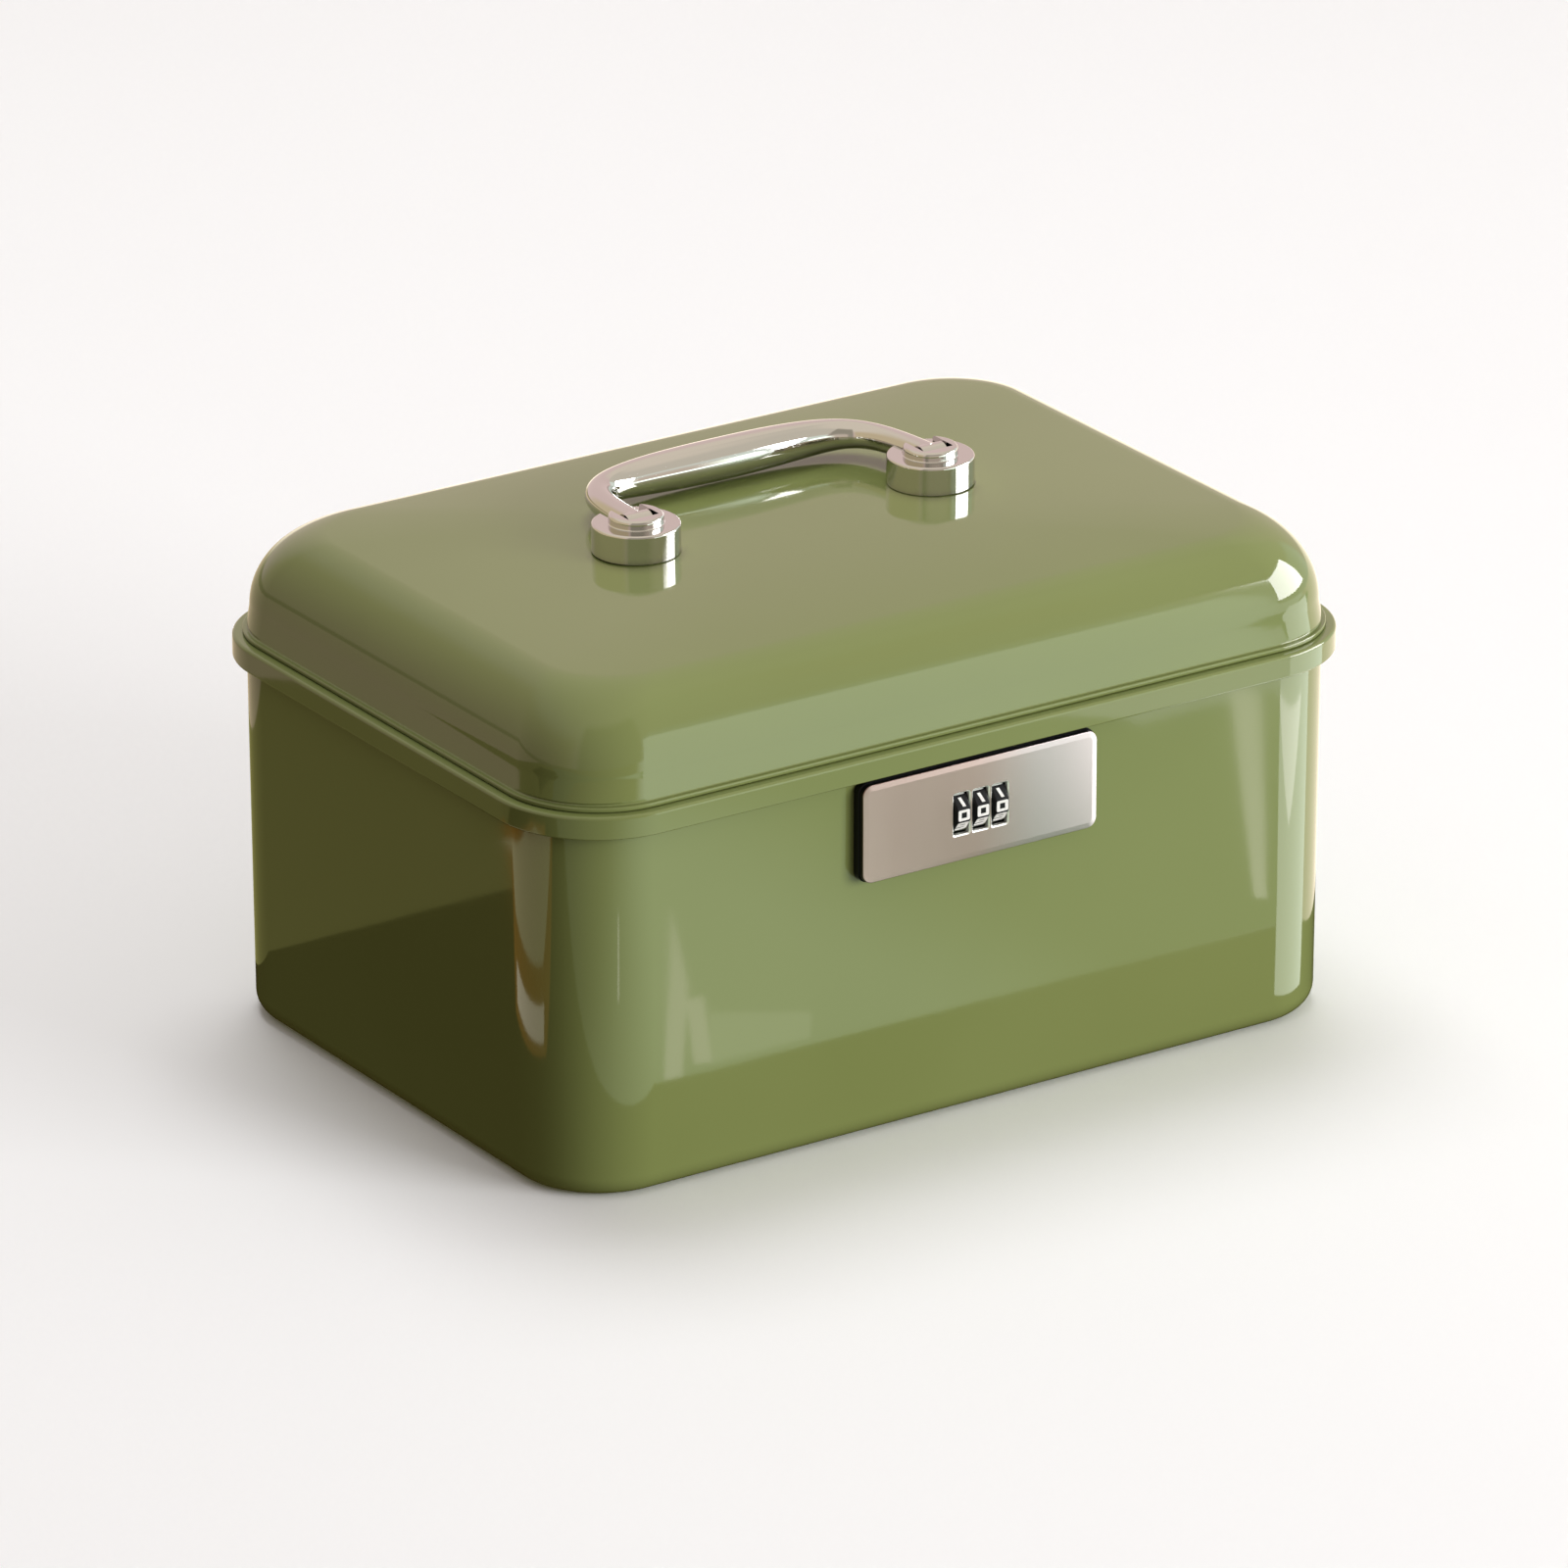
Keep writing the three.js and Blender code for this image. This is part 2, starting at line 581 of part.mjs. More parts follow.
// Handle
function handleCup(x) {
  const top = BOSS_HEIGHT + CUP_HEIGHT;
  const bossRound = steps(ROUND_STEPS).map((share) => {
    const turn = share * Math.PI / 2;
    const radius = BOSS_RADIUS - BOSS_ROUND * (1 - Math.cos(turn));
    return [radius, top - BOSS_ROUND * (1 - Math.sin(turn))];
  });
  const body = turned('z', [
    [0, studLow - cupZ],
    [STUD_RADIUS, studLow - cupZ],
    [STUD_RADIUS, 0],
    [CUP_RADIUS - CUP_BEVEL, 0],
    [CUP_RADIUS, CUP_BEVEL],
    [CUP_RADIUS, CUP_HEIGHT - CUP_BEVEL],
    [CUP_RADIUS - CUP_BEVEL, CUP_HEIGHT],
    [BOSS_RADIUS, CUP_HEIGHT],
    ...bossRound,
    [0, top],
  ], { x, y: 0, z: cupZ }, CUP_SIDES);
  const slotHalf = ARM_HALF_WIDTH + ARM_SIDE_CLEARANCE;
  const slotRadius = EYE_RADIUS + ARM_CLEARANCE;
  const slot = block(
    [x - slotHalf, x + slotHalf],
    [-slotRadius, CUP_RADIUS + THROUGH],
    [pivotZ - slotRadius, cupZ + top + THROUGH],
  );
  const boreHalf = HANDLE_PIN_LENGTH / 2 + RUNNING_GAP;
  const bore = rod('x', HANDLE_PIN_RADIUS + RUNNING_GAP, [x - boreHalf, x + boreHalf], { y: 0, z: pivotZ });
  return cut(body, slot, bore);
}

function handlePin(x) {
  const half = HANDLE_PIN_LENGTH / 2;
  return rod('x', HANDLE_PIN_RADIUS, [x - half, x + half], { y: 0, z: pivotZ });
}

// The handle's centre line from one cup to the middle of the grip
function armCurve(side) {
  return new THREE.CubicBezierCurve3(
    new THREE.Vector3(side * cupX, 0, pivotZ),
    new THREE.Vector3(side * (cupX - ARM_LEAN), ARM_PULL, pivotZ - HANDLE_DROP),
    new THREE.Vector3(side * (cupX - SHOULDER), HANDLE_REACH, pivotZ - HANDLE_DROP),
    new THREE.Vector3(0, HANDLE_REACH, pivotZ - HANDLE_DROP),
  );
}

// One section of the handle, square to its centre line: an oval at the arms, round and fat at the grip
function armSection(centre, along, share) {
  const swell = Math.sin(share * Math.PI / 2) ** GRIP_SWELL_POWER;
  const width = THREE.MathUtils.lerp(ARM_HALF_WIDTH, GRIP_RADIUS, swell);
  const thickness = THREE.MathUtils.lerp(ARM_HALF_THICKNESS, GRIP_RADIUS, swell);
  const across = new THREE.Vector3(along.y, -along.x, 0).normalize();
  const upward = new THREE.Vector3().crossVectors(across, along).normalize();
  return steps(ARM_SIDES).slice(1).map((part) => {
    const turn = part * Math.PI * 2;
    return centre.clone()
      .addScaledVector(across, width * Math.cos(turn))
      .addScaledVector(upward, thickness * Math.sin(turn));
  });
}

function carryHandle() {
  const left = armCurve(-1);
  const right = armCurve(1);
  const shares = steps(ARM_STEPS);
  const there = shares.map((share) => armSection(left.getPointAt(share), left.getTangentAt(share), share));
  const back = shares.slice(0, -1).reverse().map((share) => {
    return armSection(right.getPointAt(share), right.getTangentAt(share).negate(), share);
  });
  const bar = loft([...there, ...back]);
  const eyes = [-cupX, cupX].map((x) => {
    return rod('x', EYE_RADIUS, [x - ARM_HALF_WIDTH, x + ARM_HALF_WIDTH], { y: 0, z: pivotZ });
  });
  const bores = [-cupX, cupX].map((x) => {
    const reach = ARM_HALF_WIDTH + THROUGH;
    return rod('x', HANDLE_PIN_RADIUS + RUNNING_GAP, [x - reach, x + reach], { y: 0, z: pivotZ });
  });
  return cut(join(bar, ...eyes), ...bores);
}

function handleWasher(x) {
  const along = [washerZ - WASHER_THICKNESS, washerZ];
  const bore = [along[0] - THROUGH, along[1] + THROUGH];
  const disc = rod('z', WASHER_RADIUS, along, { x, y: 0 });
  return cut(disc, rod('z', STUD_RADIUS + SEAT_GAP, bore, { x, y: 0 }));
}

function handleNut(x) {
  const along = [nutZ - NUT_HEIGHT, nutZ];
  const bore = [along[0] - THROUGH, along[1] + THROUGH];
  const corners = NUT_ACROSS_FLATS / 2 / Math.cos(Math.PI / NUT_SIDES);
  const hexagon = rod('z', corners, along, { x, y: 0 }, NUT_SIDES);
  return cut(hexagon, rod('z', STUD_RADIUS + SEAT_GAP, bore, { x, y: 0 }));
}

// Hinges
function knuckleSpans(x) {
  const end = HINGE_LENGTH / 2;
  const middle = LID_KNUCKLE_LENGTH / 2 + KNUCKLE_GAP;
  return [[x - end, x - middle], [x + middle, x + end]];
}

function knuckle(span) {
  return rod('x', KNUCKLE_RADIUS, span, { y: hingeY, z: hingeZ });
}

function hingeBore(x) {
  const reach = HINGE_LENGTH / 2 + THROUGH;
  return rod('x', HINGE_PIN_RADIUS + RUNNING_GAP, [x - reach, x + reach], { y: hingeY, z: hingeZ });
}

// The leaf lies on the body's wall, steps out under the band and rises behind it to the knuckles
function bodyLeaf(x) {
  const wallSide = wallBack + FACE_GAP;
  const bandSide = RIM_WIDTH / 2 + HINGE_BEHIND;
  const end = HINGE_LENGTH / 2;
  const through = [wallSide, wallSide + LEAF_THICKNESS];
  const plate = block([x - end, x + end], through, [bodyLeafLow, bodyLeafHigh]);
  const crank = [
    [wallSide, bodyLeafHigh - LEAF_THICKNESS],
    [bandSide + LEAF_THICKNESS, bodyLeafHigh - LEAF_THICKNESS],
    [bandSide + LEAF_THICKNESS, hingeZ],
    [bandSide, hingeZ],
    [bandSide, bodyLeafHigh],
    [wallSide, bodyLeafHigh],
  ];
  const arms = knuckleSpans(x).flatMap((span) => [alongX(crank, span), knuckle(span)]);
  return cut(join(plate, ...arms), hingeBore(x), ...rivetHoles(bodyRivetZ, wallBack));
}

// The leaf lies on the lid's wall above the bead, and one tab reaches back to the middle knuckle
function lidLeaf(x) {
  const low = lidWallY(lidLeafLow) + SEAT_GAP;
  const high = lidWallY(lidLeafHigh) + SEAT_GAP;
  const plate = [
    [low, lidLeafLow],
    [low + LEAF_THICKNESS, lidLeafLow],
    [high + LEAF_THICKNESS, lidLeafHigh],
    [high, lidLeafHigh],
  ];
  const end = HINGE_LENGTH / 2;
  const middle = [x - LID_KNUCKLE_LENGTH / 2, x + LID_KNUCKLE_LENGTH / 2];
  const tab = block(middle, [low, hingeY], [lidLeafLow, lidLeafLow + LEAF_THICKNESS]);
  const leaf = join(alongX(plate, [x - end, x + end]), tab, knuckle(middle));
  return cut(leaf, hingeBore(x), ...rivetHoles(lidRivetZ, lidWallY(lidRivetZ)));
}

function hingePin(x) {
  const end = HINGE_LENGTH / 2 + RUNNING_GAP;
  const tip = end + PIN_HEAD_THICKNESS;
  return turned('x', [
    [0, -tip],
    [PIN_HEAD_RADIUS, -tip],
    [PIN_HEAD_RADIUS, -end],
    [HINGE_PIN_RADIUS, -end],
    [HINGE_PIN_RADIUS, end],
    [PIN_HEAD_RADIUS, end],
    [PIN_HEAD_RADIUS, tip],
    [0, tip],
  ], { x, y: hingeY, z: hingeZ });
}

// A rivet along Y with its domed head behind the box and its tail inside
function rivet(place, tailY, headY) {
  const dome = steps(ROUND_STEPS).slice(0, -1).map((share) => {
    const turn = share * Math.PI / 2;
    return [RIVET_HEAD_RADIUS * Math.cos(turn), headY + RIVET_HEAD_HEIGHT * Math.sin(turn)];
  });
  return turned('y', [
    [0, tailY - RIVET_TAIL_HEIGHT],
    [RIVET_TAIL_RADIUS, tailY - RIVET_TAIL_HEIGHT],
    [RIVET_TAIL_RADIUS, tailY],
    [RIVET_RADIUS, tailY],
    [RIVET_RADIUS, headY],
    ...dome,
    [0, headY + RIVET_HEAD_HEIGHT],
  ], { ...place, y: 0 });
}

function bodyRivet(place) {
  const inside = wallBack - wallLean(place.z - RIVET_TAIL_RADIUS) - SHEET - FACE_GAP;
  return rivet(place, inside, wallBack + LEAF_THICKNESS + FACE_GAP * 2);
}

function lidRivet(place) {
  const inside = lidWallY(place.z + RIVET_TAIL_RADIUS) - SHEET - FACE_GAP;
  const outside = lidWallY(place.z - RIVET_HEAD_RADIUS) + LEAF_THICKNESS + SEAT_GAP + FACE_GAP;
  return rivet(place, inside, outside);
}

// Lock front
function dialCentres() {
  return Array.from({ length: DIAL_COUNT }, (_, i) => (i - (DIAL_COUNT - 1) / 2) * DIAL_PITCH);
}

function lockPlate() {
  const outline = roundedPlate(PLATE_LENGTH, PLATE_HEIGHT, PLATE_CORNER, plateZ);
  const windows = dialCentres().map((x) => block(
    [x - DIAL_WINDOW_WIDTH / 2, x + DIAL_WINDOW_WIDTH / 2],
    [plateFront - THROUGH, plateBack + THROUGH],
    [dialZ - DIAL_WINDOW_HEIGHT / 2, dialZ + DIAL_WINDOW_HEIGHT / 2],
  ));
  return cut(alongY(outline, [plateFront, plateBack]), ...windows);
}

function lockBacking() {
  const outline = roundedPlate(PLATE_LENGTH, PLATE_HEIGHT, PLATE_CORNER, plateZ);
  const sheet = cut(alongY(outline, [backingFront, backingBack]), lockOpening());
  const spigotEnd = caseFront - FACE_GAP;
  const spigotSpan = [backingBack - SHEET, spigotEnd];
  const spigots = lockPosts().map((place) => rod('y', SPIGOT_RADIUS, spigotSpan, place));
  const bores = lockPosts().map((place) => {
    return rod('y', SCREW_RADIUS + SEAT_GAP, [backingFront + SPIGOT_FLOOR, spigotEnd + THROUGH], place);
  });
  return cut(join(sheet, ...spigots), ...bores);
}

// A prism with one flat to the front for each digit, hollow for its code ring, with a key at the back
function digitWheel(x) {
  const span = [x - WHEEL_WIDTH / 2, x + WHEEL_WIDTH / 2];
  const prism = new THREE.CylinderGeometry(WHEEL_RADIUS, WHEEL_RADIUS, WHEEL_WIDTH, DIGITS);
  prism.rotateY(Math.PI / DIGITS);
  turnTo('x', prism);
  prism.rotateX(Math.PI / 2);
  prism.translate(x, dialY, dialZ);
  const bore = rod('x', WHEEL_BORE, [span[0] - THROUGH, span[1] + THROUGH], { y: dialY, z: dialZ });
  const keyTop = dialZ + WHEEL_BORE + SEAT_GAP;
  const keySides = [dialY - KEY_WIDTH / 2, dialY + KEY_WIDTH / 2];
  const key = block(span, keySides, [keyTop - KEY_HEIGHT - SEAT_GAP, keyTop]);
  return join(cut(toSolid(prism), bore), key);
}

function codeRing(x) {
  const span = [x - WHEEL_WIDTH / 2, x + WHEEL_WIDTH / 2 + COLLAR];
  const past = [span[0] - THROUGH, span[1] + THROUGH];
  const place = { y: dialY, z: dialZ };
  const outer = WHEEL_BORE - SEAT_GAP;
  const gateHalf = KEY_WIDTH / 2 + SEAT_GAP;
  const gateFloor = dialZ + WHEEL_BORE - KEY_HEIGHT - SEAT_GAP;
  const gate = block(past, [dialY - gateHalf, dialY + gateHalf], [gateFloor, dialZ + outer + THROUGH]);
  return cut(rod('x', outer, span, place), rod('x', SHAFT_RADIUS + RUNNING_GAP, past, place), gate);
}

function dialShaft() {
  return rod('x', SHAFT_RADIUS, [-cheekOuter, cheekOuter], { y: dialY, z: dialZ });
}

// Lock case
function caseShell() {
  const half = caseHalfLength;
  const outer = block([-half, half], [caseFront, caseBack], [caseLow, caseHigh]);
  const hollow = block(
    [-half + CASE_WALL, half - CASE_WALL],
    [caseFront + CASE_WALL, caseBack + THROUGH],
    [caseLow + CASE_WALL, caseHigh - CASE_WALL],
  );
  const opening = block(
    [-cheekInner, cheekInner],
    [caseFront - THROUGH, caseFront + THROUGH],
    [dialZ - windowHalfHeight, dialZ + windowHalfHeight],
  );
  return cut(outer, hollow, opening);
}

// The cheeks hold the dial shaft, and reach forward through the wall beside the wheels
function shaftCheeks() {
  return [-1, 1].map((side) => {
    const x = [side * cheekInner, side * cheekOuter].sort((a, b) => a - b);
    const back = dialY + SHAFT_RADIUS + CHEEK_BACK_RIM;
    const front = dialY - SHAFT_RADIUS - CHEEK_FRONT_RIM;
    return block(x, [front, back], [dialZ - CHEEK_HALF_HEIGHT, dialZ + CHEEK_HALF_HEIGHT]);
  });
}

function boltGuide(x) {
  const outer = block(
    [x, x + GUIDE_THICKNESS],
    [caseFront + CASE_WALL / 2, boltBack + GUIDE_RIM],
    [boltLow - GUIDE_RIM, caseHigh - CASE_WALL / 2],
  );
  const hole = block(
    [x - THROUGH, x + GUIDE_THICKNESS + THROUGH],
    [boltFront - BOLT_CLEARANCE, boltBack + BOLT_CLEARANCE],
    [boltLow - BOLT_CLEARANCE, boltHigh + BOLT_CLEARANCE],
  );
  return cut(outer, hole);
}

function strikeSlot() {
  return block(
    [STRIKE_X - STRIKE_SLOT_CLEARANCE, STRIKE_X + STRIKE_THICKNESS + STRIKE_SLOT_CLEARANCE],
    [caseFront + CASE_WALL, strikeTongueBack() + STRIKE_SLOT_CLEARANCE],
    [caseHigh - THROUGH, caseHigh + THROUGH],
  );
}

function lockCase() {
  const postSpan = [caseFront + CASE_WALL / 2, caseBack];
  const posts = lockPosts().map((place) => rod('y', POST_RADIUS, postSpan, place));
  const seatHalf = (DIAL_COUNT - 1) / 2 * DIAL_PITCH + SPRING_FINGER_WIDTH / 2;
  const seat = block(
    [-seatHalf, seatHalf],
    [caseFront + CASE_WALL / 2, springFront - FACE_GAP],
    [springFootLow, springFootLow + SPRING_FOOT_HEIGHT],
  );
  const bores = lockPosts().map((place) => {
    return rod('y', SCREW_RADIUS + SEAT_GAP, [caseFront - THROUGH, caseBack + THROUGH], place);
  });
  const guides = guideXs.map(boltGuide);
  const shaftReach = cheekOuter + FACE_GAP;
  const shaftSpan = [-shaftReach, shaftReach];
  const shaftBore = rod('x', SHAFT_RADIUS + RUNNING_GAP, shaftSpan, { y: dialY, z: dialZ });
  const whole = join(caseShell(), ...shaftCheeks(), ...guides, ...posts, seat);
  return cut(whole, strikeSlot(), shaftBore, ...bores);
}

function lockCover() {
  const half = caseHalfLength - COVER_INSET;
  const upright = [caseLow + COVER_INSET, caseHigh - COVER_INSET];
  const sheet = block([-half, half], [coverFront, coverBack], upright);
  const across = [coverFront - THROUGH, coverBack + THROUGH];
  return cut(sheet, ...lockPosts().map((place) => rod('y', SCREW_RADIUS + SEAT_GAP, across, place)));
}

// A long screw with its slotted head behind the cover and its tip in the backing's spigot
function lockScrew(place) {
  const head = coverBack + FACE_GAP;
  const top = head + SCREW_HEAD_HEIGHT;
  const tip = backingFront + SPIGOT_FLOOR + SEAT_GAP;
  const screw = join(
    rod('y', SCREW_RADIUS, [tip, head + SCREW_HEAD_HEIGHT / 2], place),
    rod('y', SCREW_HEAD_RADIUS, [head, top], place),
  );
  const slot = block(
    [place.x - SCREW_HEAD_RADIUS - FACE_GAP, place.x + SCREW_HEAD_RADIUS + FACE_GAP],
    [top - SCREW_SLOT_DEPTH, top + THROUGH],
    [place.z - SCREW_SLOT_WIDTH / 2, place.z + SCREW_SLOT_WIDTH / 2],
  );
  return cut(screw, slot);
}

// A leaf with one finger behind each wheel, on a foot that rests on the case's seat
function detentSpring() {
  const across = [springFront, springFront + SPRING_THICKNESS];
  const footHalf = (DIAL_COUNT - 1) / 2 * DIAL_PITCH + SPRING_FINGER_WIDTH / 2;
  const foot = block([-footHalf, footHalf], across, [springFootLow, springFootLow + SPRING_FOOT_HEIGHT]);
  const fingers = dialCentres().map((x) => block(
    [x - SPRING_FINGER_WIDTH / 2, x + SPRING_FINGER_WIDTH / 2],
    across,
    [springFootLow, dialZ + SPRING_TOP_ABOVE_AXIS],
  ));
  return join(foot, ...fingers);
}

// Bolt and strike

// The bolt has a raised tail that stops it, and one prong beside each wheel's code ring
function latchBolt() {
  const prongLow = dialZ + WHEEL_RADIUS + PRONG_CLEARANCE;
  const prongs = dialCentres().map((x) => x - DIAL_PITCH / 2).flatMap((x) => [
    [x - PRONG_WIDTH / 2, boltLow],
    [x - PRONG_WIDTH / 2, prongLow],
    [x + PRONG_WIDTH / 2, prongLow],
    [x + PRONG_WIDTH / 2, boltLow],
  ]);
  return alongY([
    [boltTail - TAIL_LENGTH, boltLow - TAIL_RISE],
    [boltTail, boltLow - TAIL_RISE],
    [boltTail, boltLow],
    ...prongs,
    [boltNose - BOLT_CHAMFER, boltLow],
    [boltNose, boltLow + BOLT_CHAMFER],
    [boltNose, boltHigh - BOLT_CHAMFER],
    [boltNose - BOLT_CHAMFER, boltHigh],
    [boltTail, boltHigh],
    [boltTail, boltHigh + TAIL_RISE],
    [boltTail - TAIL_LENGTH, boltHigh + TAIL_RISE],
  ], [boltFront, boltBack]);
}

function strikeTongueBack() {
  return boltBack + STRIKE_WINDOW_CLEARANCE + STRIKE_RIM;
}

// The strike's flange is welded inside the lid's skirt, and its windowed tongue hangs into the case
function lidStrike() {
  const flangeX = [STRIKE_X + STRIKE_THICKNESS - STRIKE_FLANGE_LENGTH, STRIKE_X + STRIKE_THICKNESS];
  const flangeBack = strikeFlangeFront + STRIKE_FLANGE_THICKNESS;
  const flange = block(flangeX, [strikeFlangeFront, flangeBack], strikeFlangeZ);
  const tongueX = [STRIKE_X, STRIKE_X + STRIKE_THICKNESS];
  const windowFront = boltFront - STRIKE_WINDOW_CLEARANCE;
  const tongueFront = windowFront - STRIKE_FRONT_RIM;
  const tongueLow = boltLow - STRIKE_WINDOW_CLEARANCE - STRIKE_FOOT;
  const tongue = block(tongueX, [tongueFront, strikeTongueBack()], [tongueLow, strikeFlangeZ[1]]);
  const root = block(tongueX, [strikeFlangeFront, strikeTongueBack()], strikeFlangeZ);
  const window = block(
    [tongueX[0] - THROUGH, tongueX[1] + THROUGH],
    [windowFront, boltBack + STRIKE_WINDOW_CLEARANCE],
    [boltLow - STRIKE_WINDOW_CLEARANCE, boltHigh + STRIKE_WINDOW_CLEARANCE],
  );
  return cut(join(flange, tongue, root), window);
}

// The whole box
const box = new THREE.Group();

function addPiece(name, solid, material) {
  const mesh = new THREE.Mesh(toGeometry(solid), material);
  mesh.name = name;
  box.add(mesh);
}

addPiece('body_shell', bodyShell(), enamel);
addPiece('lid_shell', lidShell(), enamel);
addPiece('carry_handle', carryHandle(), chrome);

const sides = [['left', -1], ['right', 1]];
for (const [side, sign] of sides) {
  addPiece(`handle_base_${side}`, handleCup(sign * cupX), chrome);
  addPiece(`handle_pin_${side}`, handlePin(sign * cupX), steel);
  addPiece(`handle_washer_${side}`, handleWasher(sign * cupX), steel);
  addPiece(`handle_nut_${side}`, handleNut(sign * cupX), steel);
  addPiece(`hinge_body_leaf_${side}`, bodyLeaf(sign * hingeX), chrome);
  addPiece(`hinge_lid_leaf_${side}`, lidLeaf(sign * hingeX), chrome);
  addPiece(`hinge_pin_${side}`, hingePin(sign * hingeX), steel);
}

rivetPlaces(bodyRivetZ).forEach((place, i) => addPiece(`body_rivet_${i + 1}`, bodyRivet(place), steel));
rivetPlaces(lidRivetZ).forEach((place, i) => addPiece(`lid_rivet_${i + 1}`, lidRivet(place), steel));

addPiece('lock_plate', lockPlate(), brushed);
addPiece('lock_backing', lockBacking(), blackPlastic);
addPiece('lock_case', lockCase(), blackPlastic);
addPiece('lock_cover', lockCover(), steel);
lockPosts().forEach((place, i) => addPiece(`lock_screw_${i + 1}`, lockScrew(place), steel));
addPiece('dial_shaft', dialShaft(), steel);
addPiece('detent_spring', detentSpring(), steel);
dialCentres().forEach((x, i) => {
  addPiece(`digit_wheel_${i + 1}`, digitWheel(x), blackPlastic);
  addPiece(`code_ring_${i + 1}`, codeRing(x), steel);
});
addPiece('latch_bolt', latchBolt(), steel);
addPiece('lid_strike', lidStrike(), steel);

export default box;
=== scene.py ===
"""The looks of a lockable steel medicine box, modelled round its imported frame.

Metres. +X runs along the box to the right, +Y from the number lock to the hinges, +Z up.
"""

import json
import math

import bmesh
import bpy
from mathutils import Euler, Matrix, Vector
from mathutils.geometry import interpolate_bezier

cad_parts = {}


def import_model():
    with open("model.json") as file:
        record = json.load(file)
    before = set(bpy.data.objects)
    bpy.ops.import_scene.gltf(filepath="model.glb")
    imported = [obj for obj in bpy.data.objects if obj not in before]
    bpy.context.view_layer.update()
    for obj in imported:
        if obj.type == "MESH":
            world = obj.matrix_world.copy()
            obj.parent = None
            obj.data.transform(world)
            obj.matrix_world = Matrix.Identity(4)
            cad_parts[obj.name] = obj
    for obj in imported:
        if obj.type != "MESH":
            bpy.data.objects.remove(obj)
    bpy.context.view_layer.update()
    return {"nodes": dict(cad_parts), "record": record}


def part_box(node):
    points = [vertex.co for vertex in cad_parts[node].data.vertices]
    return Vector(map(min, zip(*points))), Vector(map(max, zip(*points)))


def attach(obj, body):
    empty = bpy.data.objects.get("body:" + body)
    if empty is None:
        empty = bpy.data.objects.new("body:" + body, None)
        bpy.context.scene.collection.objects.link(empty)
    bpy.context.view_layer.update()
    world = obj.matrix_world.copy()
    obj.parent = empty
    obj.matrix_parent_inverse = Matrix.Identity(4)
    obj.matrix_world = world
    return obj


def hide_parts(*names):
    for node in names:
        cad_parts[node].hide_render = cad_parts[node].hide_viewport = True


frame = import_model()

MM = 0.001

# Camera
CAMERA_PLACE = Vector((-1637.88, -2480.79, 1261.08)) * MM
CAMERA_AZIMUTH = math.radians(-33.43)
CAMERA_ELEVATION = math.radians(21.92)
CAMERA_ROLL = math.radians(-0.06)
LENS = 267.56
SENSOR = 36
FAR_END = 20

# Body
RIM_CORNER = 31 * MM
BAND_HEIGHT = 6.6 * MM
BAND_STANDS = 3.9 * MM
BAND_EDGE = 1.0 * MM
SHEET = 1.0 * MM
BODY_TAPER = 0.8 * MM
BASE_ROUND = 6.05 * MM
MOUTH_ROUND = 0.5 * MM

# Lid
LID_GAP = 0.15 * MM
LID_SET_IN = 4.4 * MM
LID_CORNER = 25.2 * MM
BEAD_SET_IN = 2.8 * MM
BEAD_HEIGHT = 1.3 * MM
BEAD_FLAT = 0.3 * MM
BEAD_SWELL = 0.33 * MM
BEAD_FILLET = 0.45 * MM
SKIRT_SET_IN = 5.3 * MM
SKIRT_DEPTH = 5.7 * MM
LID_WALL_RISE = 7.5 * MM
LID_DRAFT = 0.75 * MM
DOME_ROUND_OUT = 18.6 * MM
DOME_ROUND_UP = 22.4 * MM
DOME_ROUND_ENDS = math.radians(85.5)
CROWN = 2.2 * MM
CROWN_POWER = 3

# Handle
PIVOT_HEIGHT = 7.1 * MM
CUP_HEIGHT = 8.0 * MM
CUP_BEVEL = 0.7 * MM
BOSS_RADIUS = 7.65 * MM
BOSS_HEIGHT = 2.6 * MM
BOSS_ROUND = 1.1 * MM
BOSS_FOOT = 0.35 * MM
ARM_HALF_WIDTH = 3.8 * MM
ARM_HALF_THICKNESS = 3.65 * MM
GRIP_RADIUS = 5.95 * MM
GRIP_SWELL_POWER = 4
HANDLE_REACH = 32.7 * MM
HANDLE_DROP = 1.0 * MM
ARM_PULL = 36.8 * MM
ARM_LEAN = 1.6 * MM
SHOULDER = 7.2 * MM
EYE_RADIUS = 3.6 * MM
ARM_CLEARANCE = 0.45 * MM
ARM_SIDE_CLEARANCE = 0.95 * MM
HANDLE_PIN_RADIUS = 1.5 * MM
STUD_RADIUS = 2.5 * MM
STUD_CHAMFER = 0.5 * MM
RUNNING_GAP = 0.3 * MM

# Number lock
PLATE_CORNER = 3.0 * MM
PLATE_EDGE = 0.25 * MM
PLATE_BORDER = 1.6 * MM
PLATE_FALL = 0.16 * MM
PLATE_BELOW_BAND = 0.8 * MM
PLATE_SET_IN = 0.3 * MM
BACKING_EDGE = 0.3 * MM
OPENING_LENGTH = 23.2 * MM
OPENING_CLEARANCE = 0.4 * MM
DIALS = 3
DIAL_PITCH = 6.2 * MM
DIGITS = 10
WHEEL_EDGE = 0.12 * MM
WHEEL_RIM = 0.5 * MM
WINDOW_WIDTH = 5.1 * MM
WINDOW_HEIGHT = 12.0 * MM
WINDOW_CORNER = 0.5 * MM
WINDOW_CHAMFER = 0.35 * MM
WHEEL_BORE = 3.1 * MM
SPIGOT_RADIUS = 2.6 * MM
DIGIT_WIDTH = 3.7 * MM
DIGIT_HEIGHT = 3.1 * MM
DIGIT_DEPTH = 0.08 * MM
DIGIT_CORNER = 0.45 * MM
UPRIGHT_STROKE = 1.0 * MM
LEVEL_STROKE = 0.75 * MM
ONE_HEIGHT = 2.7 * MM
ONE_LEAN = 0.75 * MM
